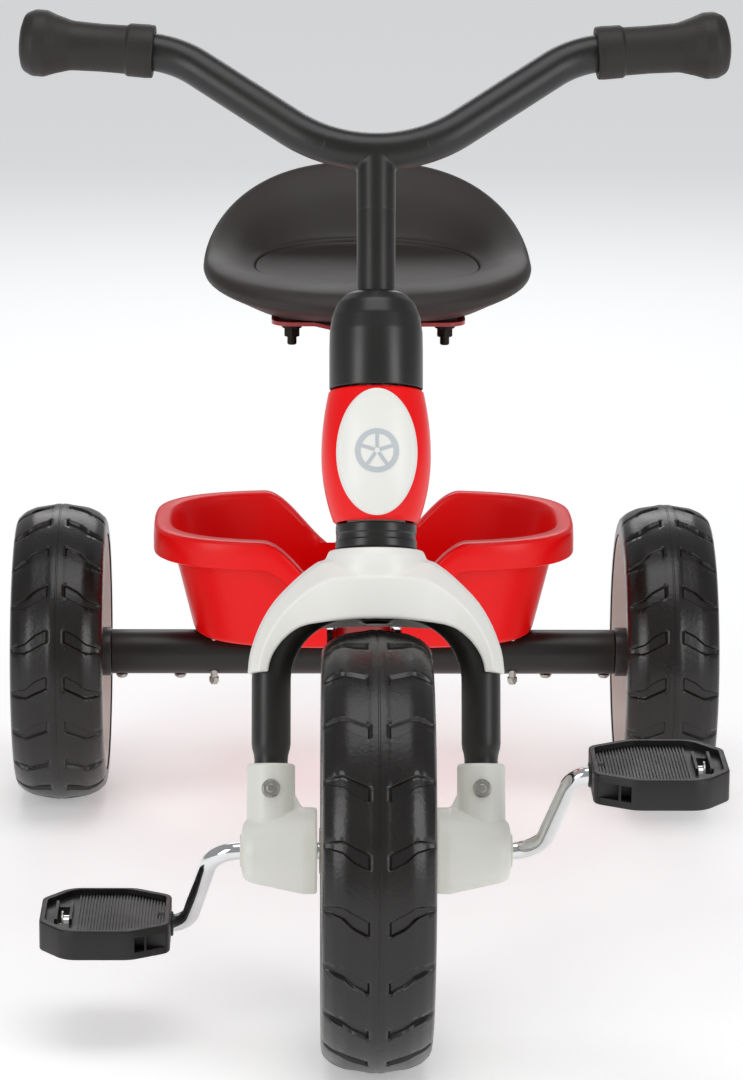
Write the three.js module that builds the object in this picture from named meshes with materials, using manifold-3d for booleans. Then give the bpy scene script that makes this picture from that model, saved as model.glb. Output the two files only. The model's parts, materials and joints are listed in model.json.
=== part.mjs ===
// A child's pedal tricycle, built piece by piece.
// Millimetres, +Z up, the front of the tricycle faces -Y, and +X is the rider's left hand.
// The origin is on the floor, on the centre plane, halfway along the overall length.

import * as THREE from "three";
import { mergeVertices } from "three/addons/utils/BufferGeometryUtils.js";
import Module from "manifold-3d";

const wasm = await Module();
wasm.setup();

const degrees = Math.PI / 180;

// ---- Driving dimensions ----

// Clearances
const gap = 0.3; // between pieces that touch
const runGap = 0.08; // radial, between a shaft and the bush that it turns in
const coverGap = 0.6; // between a moulded cover and the tube that it hides
const turnGap = 0.8; // between pieces that pass each other when they turn

// Layout
const wheelbase = 517;
const frontWheelRadius = 125;
const rearWheelRadius = 100;
const rearTrack = 407.4; // between the middles of the rear tyres
const rake = 20 * degrees; // the steering axis leans back by this much

// Wheels
const frontTyreWidth = 62.5;
const rearTyreWidth = 61;
const tyreTread = 10; // width of the flat band that runs on the floor
const tyreDrop = 9; // how much lower the shoulder is than the crown
const frontRimRadius = 99;
const rearRimRadius = 82;
const rimWall = 3;
const rimWeb = 4;
const rimShare = 0.97; // how much of the tyre's width the rim fills
const wheelCapRadius = 31;

// Tubes and rods
const forkTubeRadius = 11.1;
const forkTubeWall = 1.5;
const steererRadius = 12.7;
const steererWall = 1.3;
const stemRadius = 11.1;
const stemWall = 1.5;
const mainTubeRadius = 19;
const mainTubeWall = 1.6;
const headTubeRadius = 17;
const headTubeWall = 1.8;
const axleTubeRadius = 15;
const axleTubeWall = 1.5;
const axleTubeHalf = rearTrack / 2 - 33.7; // half its length
const rodRadius = 5; // crank and rear axle rod

// Fork, measured from the front axle along the steering axis
const forkLegSpread = 119; // between the middles of the legs
const forkCrownHeight = 142;
const forkLegBottom = 16;
const forkBend = 46;

// Steering head, measured the same way
const collarBottom = 171;
const collarTop = 185;
const collarRadius = 23.25;
const headCoverBottom = 186;
const headCoverTop = 262;
const headCoverWaist = 24.2; // radius at the bottom
const headCoverBelly = 31.3; // radius at the middle
const headCoverNeck = 27; // radius at the top
const headCoverWall = 2.5;
const capBottom = 262.9;
const capShoulder = 296;
const capTop = 319;
const capRadius = 26.8;
const capWall = 2.5;
const badgeWidth = 46;
const badgeHeight = 72;
const badgeThick = 2;

// Handlebar
const barHeight = 401; // of its middle, along the steering axis
const barSweep = 21 * degrees; // the bar's plane leans back from the steering axis
const barWidth = 406;
const barShoulder = 116.5; // where the rising arms meet the grips' line
const barRise = 87.4; // from where the arms would cross to the shoulder
const barDrop = 20.6; // from the bar's middle to where the arms would cross
const gripRise = 7.5; // how much the grips climb to their ends
const bendUnderGrip = 4.5; // how far the shoulder's bend runs in under the grip
const barRadius = 11;
const barWall = 1.5;
const gripLength = 78;
const gripRadius = 14.5;
const gripFlange = 19.5;
const gripEnd = 3; // thickness of the grip's closed end

// Crank and pedals
const crankLength = 75;
const crankAngle = 38 * degrees; // the left pedal stands up and forward of vertical by this much
const crankHubHalf = 92; // where the arms start to bend away
const crankSplay = 16; // how much further out the pedals are
const crankBend = 9;
const pedalInner = 117;
const pedalLength = 75;
const pedalDepth = 80;
const pedalThick = 17.5;
const pedalRim = 3;

// Axle housings on the fork legs
const housingInner = frontTyreWidth / 2 + 1.75;
const hubSetback = 3; // from the housings to the front rim's hub, which leaves room for the spacers
const housingOuter = 76;
const housingBigRadius = 24.5;
const housingSmallRadius = 11.5;
const housingTop = 49; // along the steering axis
const socketRadius = 13.7;
const housingBoltHeight = 34.5;
const boltRadius = 2.5;

// Fork cover
const coverTop = 170;
const coverTip = 100;
const coverHalfWidth = 73;
const coverCollarRadius = 26.4;
const coverShoulder = 30; // half width and height where the arch leaves the collar
const coverShoulderHeight = 166;
const coverReach = 30; // how far the arch stands in front of the fork's middle
const coverTipReach = 15.5;
const coverCrown = 129; // height of the arch's underside
const coverTipWidth = 12.3;

// Main tube, measured back from the front axle
const mainTubeHeight = 331;
const mainTubeKnee = wheelbase - 87;
const mainTubeBend = 70;

// Seat, measured back from the front axle
const seatFront = 330;
const seatBack = 545;
const seatWidth = 211;
const seatHeight = 384; // of its widest edge
const seatBottom = 357.3;
const seatBackRise = 48;
const seatWall = 3.5;
const seatFootHalf = 66; // the foot that stands on the bracket: half width, and reach ahead of the middle
const seatFootReach = 62;
const seatCorner = 0.8; // how square the plan is: 1 is an oval
const bossRadius = 8;
const bracketWidth = 123;
const bracketThick = 2.5;
const bracketFront = 365;
const bracketCorner = 12; // how much of its front corners is cut away
const bracketBack = 476;
const seatBoltSpread = 97;
const seatBoltFront = 378;
const seatBoltBack = 452;

// Bucket
const bucketRim = 190; // height of its rim
const bucketWidth = 283;
const bucketFront = wheelbase - 62; // measured back from the front axle
const bucketBack = wheelbase + 100;
const bucketFloorWidth = 230;
const bucketWall = 2.5;
const bucketLip = 9;
const bucketSkirt = 19;
const bucketDip = 42; // how far the rim dips at the middle
const bucketDipTop = 62; // half width of the dip at the rim
const bucketDipBottom = 28; // half width of the dip at its lowest
const bucketBoltSpread = 202;
const bucketBoltRadius = 2.5;

// ---- Values that follow from those ----

const overallLength = frontWheelRadius + wheelbase + rearWheelRadius;
const frontAxleY = frontWheelRadius - overallLength / 2;
const forkLegX = forkLegSpread / 2;
const bucketFloor = rearWheelRadius + axleTubeRadius + gap;
const wheelSides = 28;
const roundSides = 16;
const tubeSides = 12;
const smallSides = 8;

// ---- Helpers ----

// Radius of the corners of a polygon whose flats are at the given radius.
function cornerRadius(flatRadius, sides) {
  return flatRadius / Math.cos(Math.PI / sides);
}

// A closed solid from a geometry, with its faces turned outwards.
function solidOf(geometry) {
  const bare = geometry.clone();
  bare.deleteAttribute("normal");
  bare.deleteAttribute("uv");
  const merged = mergeVertices(bare, 1e-4);
  const source = merged.index.array;
  const triangles = [];
  for (let i = 0; i < source.length; i += 3) {
    const [a, b, c] = source.subarray(i, i + 3);
    if (a !== b && b !== c && c !== a) triangles.push(a, b, c);
  }
  const points = merged.attributes.position.array;
  if (signedVolume(points, triangles) < 0) triangles.reverse();
  const triVerts = new Uint32Array(triangles);
  return new wasm.Manifold(new wasm.Mesh({ numProp: 3, vertProperties: new Float32Array(points), triVerts }));
}

function signedVolume(points, triangles) {
  const at = (i) => new THREE.Vector3().fromArray(points, 3 * i);
  let volume = 0;
  for (let i = 0; i < triangles.length; i += 3) {
    volume += at(triangles[i]).dot(at(triangles[i + 1]).cross(at(triangles[i + 2]))) / 6;
  }
  return volume;
}

function geometryOf(solid) {
  const mesh = solid.getMesh();
  const geometry = new THREE.BufferGeometry();
  geometry.setAttribute("position", new THREE.BufferAttribute(mesh.vertProperties, 3));
  geometry.setIndex(new THREE.BufferAttribute(mesh.triVerts, 1));
  return geometry;
}

function moved(solid, x, y, z) {
  return solid.translate([x, y, z]);
}

// A turned piece about Z: profile is a list of [radius, z] that closes on itself or ends on the axis.
function turned(profile, sides = roundSides) {
  const points = profile.map(([r, z]) => new THREE.Vector2(r, z));
  const onAxis = points[0].x === 0 && points[points.length - 1].x === 0;
  if (!onAxis) points.push(points[0].clone());
  const lathe = new THREE.LatheGeometry(points, sides, Math.PI / sides);
  return solidOf(lathe.rotateX(Math.PI / 2));
}

// The same about X: profile is a list of [radius, x].
function turnedX(profile, sides = roundSides) {
  return turned(profile, sides).rotate([0, 90, 0]);
}

// The same about Y: profile is a list of [radius, y].
function turnedY(profile, sides = roundSides) {
  return turned(profile, sides).rotate([-90, 0, 0]);
}

// A plain rod about Z from one height to another.
function rod(radius, bottom, top, sides = smallSides) {
  return turned([[0, bottom], [radius, bottom], [radius, top], [0, top]], sides);
}

function rodX(radius, from, to, sides = smallSides) {
  return rod(radius, from, to, sides).rotate([0, 90, 0]);
}

function rodY(radius, from, to, sides = smallSides) {
  return rod(radius, from, to, sides).rotate([-90, 0, 0]);
}

function ring(inner, outer, bottom, top, sides = roundSides) {
  return turned([[inner, bottom], [outer, bottom], [outer, top], [inner, top]], sides);
}

function box(width, depth, height, x, y, z) {
  return solidOf(new THREE.BoxGeometry(width, depth, height).translate(x, y, z));
}

// A plate with the given outline in x and y, from z 0 up to its height.
function plate(outline, height) {
  const shape = new THREE.Shape(outline.map(([x, y]) => new THREE.Vector2(x, y)));
  return solidOf(new THREE.ExtrudeGeometry(shape, { depth: height, bevelEnabled: false }));
}

// The same outline drawn in x and z, and carried along Y from one place to another.
function profileAlongY(outline, from, to) {
  const flipped = outline.map(([x, z]) => [x, -z]);
  return plate(flipped, to - from).rotate([-90, 0, 0]).translate([0, from, 0]);
}

// A route through corners, each rounded by its own radius, with a station only where the route turns.
class BentRoute extends THREE.Curve {
  constructor(corners, bends, bendSteps) {
    super();
    this.stations = [];
    const last = corners.length - 1;
    corners.forEach((corner, i) => {
      if (i === 0 || i === last) {
        const along = i === 0 ? corners[1].clone().sub(corner) : corner.clone().sub(corners[last - 1]);
        this.stations.push({ point: corner.clone(), along: along.normalize() });
        return;
      }
      this.addBend(corners[i - 1], corner, corners[i + 1], bends[i - 1], bendSteps);
    });
  }

  addBend(before, corner, after, radius, steps) {
    const arriving = corner.clone().sub(before).normalize();
    const leaving = after.clone().sub(corner).normalize();
    const turn = arriving.angleTo(leaving);
    const start = corner.clone().addScaledVector(arriving, -radius * Math.tan(turn / 2));
    const inward = leaving.clone().addScaledVector(arriving, -arriving.dot(leaving)).normalize();
    for (let step = 0; step <= steps; step++) {
      const angle = (turn * step) / steps;
      const point = start.clone()
        .addScaledVector(arriving, radius * Math.sin(angle))
        .addScaledVector(inward, radius * (1 - Math.cos(angle)));
      const along = arriving.clone().multiplyScalar(Math.cos(angle)).addScaledVector(inward, Math.sin(angle));
      this.stations.push({ point, along });
    }
  }

  station(u) {
    return this.stations[Math.round(u * (this.stations.length - 1))];
  }

  getPoint(u) {
    return this.station(u).point.clone();
  }

  getPointAt(u) {
    return this.getPoint(u);
  }

  getTangentAt(u) {
    return this.station(u).along.clone();
  }
}

// A bent tube or rod that follows a route. A wall of 0 makes it solid.
function bentTube(route, radius, wall, sides = tubeSides) {
  const section = new THREE.Shape(circle(radius, sides));
  if (wall > 0) section.holes.push(new THREE.Path(circle(radius - wall, smallSides).reverse()));
  const steps = route.stations.length - 1;
  return solidOf(new THREE.ExtrudeGeometry(section, { steps, bevelEnabled: false, extrudePath: route }));
}

function circle(radius, sides) {
  const points = [];
  for (let i = 0; i < sides; i++) {
    const angle = ((i + 0.5) * 2 * Math.PI) / sides;
    points.push(new THREE.Vector2(radius * Math.cos(angle), radius * Math.sin(angle)));
  }
  return points;
}

// A turned shell whose rings are then moved: place(ring, angle) gives each vertex its own spot.
function shapedShell(ringCount, closedLoop, sides, place) {
  const points = [];
  for (let j = 0; j < ringCount; j++) points.push(new THREE.Vector2(j, j));
  if (closedLoop) points.push(points[0].clone());
  const lathe = new THREE.LatheGeometry(points, sides);
  const position = lathe.attributes.position;
  const perSpoke = points.length;
  for (let i = 0; i < position.count; i++) {
    const spoke = Math.floor(i / perSpoke) % sides;
    const p = place((i % perSpoke) % ringCount, (2 * Math.PI * spoke) / sides);
    position.setXYZ(i, p.x, p.y, p.z);
  }
  return solidOf(lathe);
}

// cos or sin pulled towards a square: power 1 keeps a circle.
function squared(value, power) {
  return Math.sign(value) * Math.abs(value) ** power;
}

function smooth(t) {
  const s = THREE.MathUtils.clamp(t, 0, 1);
  return s * s * (3 - 2 * s);
}

// ---- Materials ----

function material(color, roughness, metalness) {
  return () => new THREE.MeshStandardMaterial({ color, roughness, metalness });
}

const blackPaint = material(0x2a2926, 0.38, 0);
const redPaint = material(0xb01016, 0.25, 0);
const redPlastic = material(0xe80a10, 0.32, 0);
const whitePlastic = material(0xf2f1ec, 0.4, 0);
const blackPlastic = material(0x33302c, 0.5, 0);
const gripRubber = material(0x2d2a28, 0.7, 0);
const tyreFoam = material(0x221f1c, 0.45, 0);
const chrome = material(0xd8d8d8, 0.12, 1);
const zincSteel = material(0xb0aca4, 0.35, 1);
const nylon = material(0xe4e0d4, 0.5, 0);

// ---- Groups ----

const tricycle = new THREE.Group();

// Everything here is measured back from the front axle and up from the floor.
const frame = new THREE.Group();
frame.position.y = frontAxleY;
tricycle.add(frame);

// Everything here is measured from the front axle: x sideways, y back from the steering axis, z along it.
const steering = new THREE.Group();
steering.position.set(0, frontAxleY, frontWheelRadius);
steering.rotation.x = -rake;
tricycle.add(steering);

// Centred on the front axle.
const frontWheel = new THREE.Group();
frontWheel.position.set(0, frontAxleY, frontWheelRadius);
tricycle.add(frontWheel);

function addPiece(parent, name, solid, makeMaterial) {
  const mesh = new THREE.Mesh(geometryOf(solid), makeMaterial());
  mesh.name = name;
  parent.add(mesh);
  return mesh;
}

// A solid of the steering head carried into the frame's own coordinates.
function headToFrame(solid) {
  return solid.rotate([-rake / degrees, 0, 0]).translate([0, 0, frontWheelRadius]);
}

// ---- Wheels ----

// A moulded tyre about X: flat tread band, falling shoulders, upright sidewalls, bore on the rim.
function tyre(radius, width, rimRadius) {
  const half = width / 2;
  const section = [
    [cornerRadius(radius, wheelSides), tyreTread / 2],
    [radius - 0.25 * tyreDrop, half * 0.58],
    [radius - 0.6 * tyreDrop, half * 0.82],
    [radius - 1.5 * tyreDrop, half],
    [rimRadius + gap, half * rimShare],
  ];
  const otherSide = section.map(([r, x]) => [r, -x]).reverse();
  return turnedX([...section, ...otherSide], wheelSides);
}

// A moulded rim about X, with its outer face towards +X: barrel, web, hub and a raised boss for the cap.
function rim(radius, width, hubInner, hubOuter, hubRadius, boreRadius, webAt) {
  const half = (width / 2) * rimShare;
  const barrel = radius - rimWall;
  const bore = cornerRadius(boreRadius, wheelSides);
  return turnedX([
    [bore, -hubInner],
    [hubRadius, -hubInner],
    [hubRadius, webAt - rimWeb],
    [barrel, webAt - rimWeb],
    [barrel, -half],
    [radius, -half],
    [radius, half],
    [barrel, half],
    [barrel, webAt],
    [wheelCapRadius, webAt],
    [wheelCapRadius, hubOuter],
    [bore, hubOuter],
  ], wheelSides);
}

// The cap closes the rim's boss and hides the axle's end.
function wheelCap(base, pocketRadius, pocketDepth) {
  const crown = pocketDepth + 3;
  return turnedX([
    [pocketRadius, base],
    [wheelCapRadius, base],
    [wheelCapRadius, base + 2],
    [wheelCapRadius * 0.8, base + crown * 0.7],
    [wheelCapRadius * 0.45, base + crown * 0.95],
    [0, base + crown],
    [0, base + pocketDepth],
    [pocketRadius, base + pocketDepth],
  ]);
}

const collarOuter = axleTubeHalf + gap + 9; // outer face of the axle bush's collar
const wheelMiddle = rearTrack / 2;
const hubInner = wheelMiddle - collarOuter - turnGap;
const hubOuter = 13;
const rodEnd = wheelMiddle + hubOuter + 8;
const sides = [
  { name: "left", sign: 1 },
  { name: "right", sign: -1 },
];

for (const { name, sign } of sides) {
  const rearWheel = new THREE.Group();
  rearWheel.position.set(sign * wheelMiddle, frontAxleY + wheelbase, rearWheelRadius);
  rearWheel.rotation.z = sign > 0 ? 0 : Math.PI;
  tricycle.add(rearWheel);
  addPiece(rearWheel, `rear_tyre_${name}`, tyre(rearWheelRadius, rearTyreWidth, rearRimRadius), tyreFoam);
  const body = rim(rearRimRadius, rearTyreWidth, hubInner, hubOuter, 17, rodRadius + runGap, 4);
  addPiece(rearWheel, `rear_rim_${name}`, body, whitePlastic);
  addPiece(rearWheel, `wheel_cap_${name}`, wheelCap(hubOuter + gap, 11, 11), redPlastic);
}

addPiece(frontWheel, "front_tyre", tyre(frontWheelRadius, frontTyreWidth, frontRimRadius), tyreFoam);

const frontHubHalf = housingInner - hubSetback;
const frontRim = rim(frontRimRadius, frontTyreWidth, frontHubHalf, 10, 20, rodRadius + gap, 2)
  .add(rodX(20, 2, frontHubHalf, wheelSides))
  .subtract(rodX(cornerRadius(rodRadius + gap, wheelSides), -frontHubHalf - 1, frontHubHalf + 1, wheelSides));
addPiece(frontWheel, "front_rim", frontRim, whitePlastic);

// ---- Crank and pedals ----

// Unit step from the axle towards the left pedal.
const crankUp = Math.cos(crankAngle);
const crankForward = -Math.sin(crankAngle);
const pedalMiddle = pedalInner + pedalLength / 2;
const spindleEnd = pedalInner + pedalLength - 12;

function crankCorners() {
  const point = (x, reach) => new THREE.Vector3(x, crankForward * reach, crankUp * reach);
  const outer = crankHubHalf + crankSplay;
  return [
    point(-spindleEnd, -crankLength),
    point(-outer, -crankLength),
    point(-crankHubHalf, 0),
    point(crankHubHalf, 0),
    point(outer, crankLength),
    point(spindleEnd, crankLength),
  ];
}

const crankRoute = new BentRoute(crankCorners(), Array(4).fill(crankBend), 4);
addPiece(frontWheel, "crank", bentTube(crankRoute, rodRadius, 0, smallSides), chrome);

for (const { name, sign } of sides) {
  const spacer = ring(rodRadius + gap, 13, 0, housingInner - frontHubHalf - gap - turnGap)
    .rotate([0, sign * 90, 0])
    .translate([sign * (frontHubHalf + gap), 0, 0]);
  addPiece(frontWheel, `hub_spacer_${name}`, spacer, nylon);
}

// A pedal about the spindle, which lies along X: an eight-sided block, sunk above and below, with an end slot.
function pedalOutline(inset) {
  const length = pedalLength / 2 - inset;
  const depth = pedalDepth / 2 - inset;
  const outerCorner = 16 - inset * 0.4;
  const innerCorner = 22 - inset * 0.4;
  return [
    [length, -depth + outerCorner],
    [length, depth - outerCorner],
    [length - outerCorner, depth],
    [-length + innerCorner * 0.6, depth],
    [-length, depth - innerCorner],
    [-length, -depth + innerCorner],
    [-length + innerCorner * 0.6, -depth],
    [length - outerCorner, -depth],
  ];
}

const pedalSlot = 7; // width of the slot that shows the spindle's end
const pedalSlotDepth = 34;
const pedalPlate = 4; // thickness of the ribbed plate between the sunk top and bottom
const slotMiddle = spindleEnd - pedalMiddle - 2;

function pedalBody() {
  const half = pedalThick / 2;
  const deep = half - pedalPlate / 2;
  const block = moved(plate(pedalOutline(0), pedalThick), 0, 0, -half);
  const sunk = plate(pedalOutline(pedalRim), deep + 1);
  const boss = rodX(half - 1.2, -pedalLength / 2 - 1.5, slotMiddle - pedalSlot / 2 - 1, roundSides);
  const slot = box(pedalSlot, pedalSlotDepth, pedalThick + 2, slotMiddle, 0, 0);
  const bore = rodX(cornerRadius(rodRadius + runGap, roundSides), -pedalLength, slotMiddle, roundSides);
  return block
    .subtract(moved(sunk, 0, 0, pedalPlate / 2))
    .subtract(moved(sunk, 0, 0, -half - 1))
    .add(boss)
    .subtract(slot)
    .subtract(bore);
}

for (const { name, sign } of sides) {
  const pedal = new THREE.Group();
  pedal.position.set(sign * pedalMiddle, sign * crankForward * crankLength, sign * crankUp * crankLength);
  pedal.rotation.z = sign > 0 ? 0 : Math.PI;
  frontWheel.add(pedal);
  addPiece(pedal, `pedal_${name}`, pedalBody(), blackPlastic);
  const clipAt = spindleEnd - pedalMiddle - 1.8;
  const clip = ring(rodRadius + gap, rodRadius + 2.4, clipAt, clipAt + 1.2, smallSides).rotate([0, 90, 0]);
  addPiece(pedal, `pedal_clip_${name}`, clip, zincSteel);
}

// ---- Fork ----

const legEnd = forkLegBottom;
const forkCorners = [
  new THREE.Vector3(-forkLegX, 0, legEnd),
  new THREE.Vector3(-forkLegX, 0, forkCrownHeight),
  new THREE.Vector3(forkLegX, 0, forkCrownHeight),
  new THREE.Vector3(forkLegX, 0, legEnd),
];
const forkRoute = new BentRoute(forkCorners, [forkBend, forkBend], 5);
const crownBoltRadius = 4;
const housingBoltHole = boltRadius + gap;
const forkTube = bentTube(forkRoute, forkTubeRadius, forkTubeWall)
  .subtract(rod(crownBoltRadius + gap, forkCrownHeight - 30, forkCrownHeight + 30))
  .subtract(moved(rodY(housingBoltHole, -30, 30), -forkLegX, 0, housingBoltHeight))
  .subtract(moved(rodY(housingBoltHole, -30, 30), forkLegX, 0, housingBoltHeight));
addPiece(steering, "fork_tube", forkTube, blackPaint);

// The crown bolt pulls the fork up against the steerer; its head is the boss under the crown.
const crownTop = forkCrownHeight + forkTubeRadius;
const crownBottom = forkCrownHeight - forkTubeRadius;
const plugBottom = crownTop + 2;
const plugTop = plugBottom + 16;
const crownBolt = turned([
  [0, crownBottom - 2.2],
  [9.5, crownBottom - 2.2],
  [9.5, crownBottom - gap],
  [crownBoltRadius, crownBottom - gap],
  [crownBoltRadius, plugTop + 4],
  [0, plugTop + 4],
], smallSides);
addPiece(steering, "crown_bolt", crownBolt, blackPaint);

const steererInner = steererRadius - steererWall;
const steererBottom = crownTop + gap;
const steererTop = capShoulder - 6;
addPiece(steering, "steerer", ring(steererInner, steererRadius, steererBottom, steererTop), zincSteel);
const plug = ring(crownBoltRadius + gap, steererInner - gap, plugBottom, plugTop);
addPiece(steering, "steerer_plug", plug, zincSteel);

// ---- Fork cover: an arch over the fork tube, with a round collar on top ----

// The arch runs from one tip over the crown to the other; each station has its outer and inner lines and reach.
function archStations() {
  const outer = new THREE.QuadraticBezierCurve(
    new THREE.Vector2(coverHalfWidth, coverTip),
    new THREE.Vector2(coverHalfWidth - 4, (coverTip + 2 * coverShoulderHeight) / 3),
    new THREE.Vector2(coverShoulder, coverShoulderHeight),
  );
  const inner = new THREE.QuadraticBezierCurve(
    new THREE.Vector2(coverHalfWidth - coverTipWidth, coverTip),
    new THREE.Vector2(coverHalfWidth - coverTipWidth - 4, coverCrown - 4),
    new THREE.Vector2(coverShoulder, coverCrown - 2),
  );
  const steps = 6;
  const half = [];
  for (let i = 0; i <= steps; i++) {
    const t = i / steps;
    const reach = THREE.MathUtils.lerp(coverTipReach, coverReach, t ** 2 * 0.75);
    half.push({ outer: outer.getPoint(t), inner: inner.getPoint(t), crease: 0.52 - 0.14 * t, reach });
  }
  const crown = {
    outer: new THREE.Vector2(0, coverShoulderHeight),
    inner: new THREE.Vector2(0, coverCrown),
    crease: 0.37,
    reach: coverReach,
  };
  const flip = (v) => new THREE.Vector2(-v.x, v.y);
  const otherHalf = half.map((at) => ({ ...at, outer: flip(at.outer), inner: flip(at.inner) })).reverse();
  return [...half, crown, ...otherHalf];
}

// The arch's section, as [share of the way from the outer line to the inner one, share of the reach].
function archSection(crease) {
  const shoulder = [crease * 0.3, 0.62];
  const ridge = [crease, 1];
  const edge = [1, 0.94];
  const behind = ([across, depth]) => [across, -depth];
  return [[0, 0], behind(shoulder), behind(ridge), behind(edge), [1, 0], edge, ridge, shoulder];
}

// The arch, or the hollow in it: `start` shifts the section inwards and `wall` thins its reach.
function coverArch(start, wall) {
  const stations = archStations();
  const sectionSides = 8;
  const spot = (at, across, depth) => {
    const p = at.outer.clone().lerp(at.inner, start + across);
    return { x: p.x, y: depth * (at.reach - wall), z: p.y };
  };
  return shapedShell(stations.length + 2, false, sectionSides, (ringIndex, angle) => {
    if (ringIndex === 0) return spot(stations[0], 0.5, 0);
    if (ringIndex > stations.length) return spot(stations[stations.length - 1], 0.5, 0);
    const at = stations[ringIndex - 1];
    const corner = Math.round((angle * sectionSides) / (2 * Math.PI)) % sectionSides;
    const [across, depth] = archSection(at.crease)[corner];
    return spot(at, across, depth);
  });
}

const forkChannel = bentTube(forkRoute, forkTubeRadius + coverGap, 0);
const coverCollarDepth = 16; // how far the collar reaches down into the arch
const coverCollar = turned([
  [0, coverShoulderHeight - coverCollarDepth],
  [coverShoulder - 0.6, coverShoulderHeight - coverCollarDepth],
  [coverShoulder - 0.8, coverShoulderHeight - 2],
  [coverCollarRadius, coverTop],
  [0, coverTop],
], wheelSides);
const coverWall = 3;
const coverRoof = 0.45; // share of the arch's height that is left solid over the fork
const crownPocketRadius = 14; // round the crown bolt's head
const forkCover = coverArch(0, 0)
  .add(coverCollar)
  .subtract(coverArch(coverRoof, coverWall))
  .subtract(forkChannel)
  .subtract(rod(steererRadius + gap, forkCrownHeight, coverTop + 1, roundSides))
  .subtract(rod(crownPocketRadius, coverCrown - 20, forkCrownHeight, roundSides))
  .subtract(rod(coverCollarRadius - coverWall, crownTop + 3, coverTop - coverWall, roundSides));
addPiece(steering, "fork_cover", forkCover, whitePlastic);

// ---- Axle housings: a leg socket and a cone over the crank, on each side ----

const bushBore = cornerRadius(rodRadius + runGap, roundSides);
const bushOuter = 8;
const bushLength = 18;
const housingPocket = 1.5; // depth of the pockets for the nut and the bolt's head
const housingPocketRadius = 6.5;
const housingNutRadius = 4.6;

function housing(sign) {
  const cone = turnedX([
    [0, housingInner],
    [housingBigRadius, housingInner],
    [housingBigRadius, housingInner + 8],
    [housingSmallRadius + 5.5, housingOuter - 5.5],
    [housingSmallRadius, housingOuter],
    [0, housingOuter],
  ]).rotate([rake / degrees, 0, 0]);
  const socket = rod(socketRadius, 0, housingTop, roundSides).translate([forkLegX, 0, 0]);
  const webInner = housingInner + 8;
  const webTop = 34;
  const webOutline = [
    [webInner, 0],
    [webInner, 21],
    [forkLegX - socketRadius + 1, webTop],
    [forkLegX, webTop],
    [forkLegX, 0],
  ];
  const web = profileAlongY(webOutline, -6, 6);
  const legHole = moved(rod(forkTubeRadius + gap, legEnd - gap, housingTop + 1, roundSides), forkLegX, 0, 0);
  const pocketFloor = socketRadius - housingPocket;
  const pocketMouth = socketRadius + 1;
  const nutPocket = moved(
    rodY(housingPocketRadius, -pocketMouth, -pocketFloor, smallSides), forkLegX, 0, housingBoltHeight,
  );
  const headPocket = moved(
    rodY(housingPocketRadius, pocketFloor, pocketMouth, smallSides), forkLegX, 0, housingBoltHeight,
  );
  const boltHole = rodY(housingBoltHole, -30, 30).translate([forkLegX, 0, housingBoltHeight]);
  const crankHole = rodX(bushOuter + gap, housingInner - 1, housingOuter + 1, roundSides);
  const coneHollow = rodX(housingBigRadius - 4, housingInner - 1, housingInner + 9, roundSides);
  const made = cone.add(socket).add(web)
    .subtract(legHole).subtract(nutPocket).subtract(headPocket)
    .subtract(boltHole).subtract(crankHole).subtract(coneHollow);
  return sign > 0 ? made : made.mirror([1, 0, 0]);
}

for (const { name, sign } of sides) {
  addPiece(steering, `axle_housing_${name}`, housing(sign), whitePlastic);
  const bush = ring(bushBore, bushOuter, housingOuter - bushLength, housingOuter)
    .rotate([0, sign * 90, 0]);
  addPiece(steering, `crank_bush_${name}`, bush, nylon);
  const reach = socketRadius - housingPocket + gap;
  const bolt = rodY(boltRadius, -reach - 4.4, reach + 1)
    .add(rodY(housingNutRadius, -reach - 3.2, -reach, 6))
    .add(rodY(housingNutRadius, reach, reach + 2.8))
    .translate([sign * forkLegX, 0, housingBoltHeight]);
  addPiece(steering, `housing_bolt_${name}`, bolt, zincSteel);
}

// ---- Steering head ----

const lowerCollar = ring(steererRadius + gap, collarRadius, collarBottom, collarTop);
addPiece(steering, "lower_collar", lowerCollar, blackPlastic);

const headInner = headTubeRadius - headTubeWall;
const bushFlange = 3;
const headTubeBottom = collarTop + turnGap + bushFlange + gap;
const headTubeTop = headCoverTop - bushFlange - 3;
const headTube = ring(headInner, headTubeRadius, headTubeBottom, headTubeTop);
addPiece(frame, "head_tube", headToFrame(headTube), redPaint);

function headBush(flangeFrom, flangeTo, spigotTo) {
  const bore = cornerRadius(steererRadius + runGap, roundSides);
  return turned([
    [bore, flangeFrom],
    [headTubeRadius, flangeFrom],
    [headTubeRadius, flangeTo],
    [headInner - gap, flangeTo],
    [headInner - gap, spigotTo],
    [bore, spigotTo],
  ]);
}

const lowerBush = headBush(collarTop + turnGap, headTubeBottom - gap, headTubeBottom + 12);
const upperBush = headBush(headTubeTop + gap + bushFlange, headTubeTop + gap, headTubeTop - 12);
addPiece(frame, "lower_bush", headToFrame(lowerBush), nylon);
addPiece(frame, "upper_bush", headToFrame(upperBush), nylon);

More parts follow.
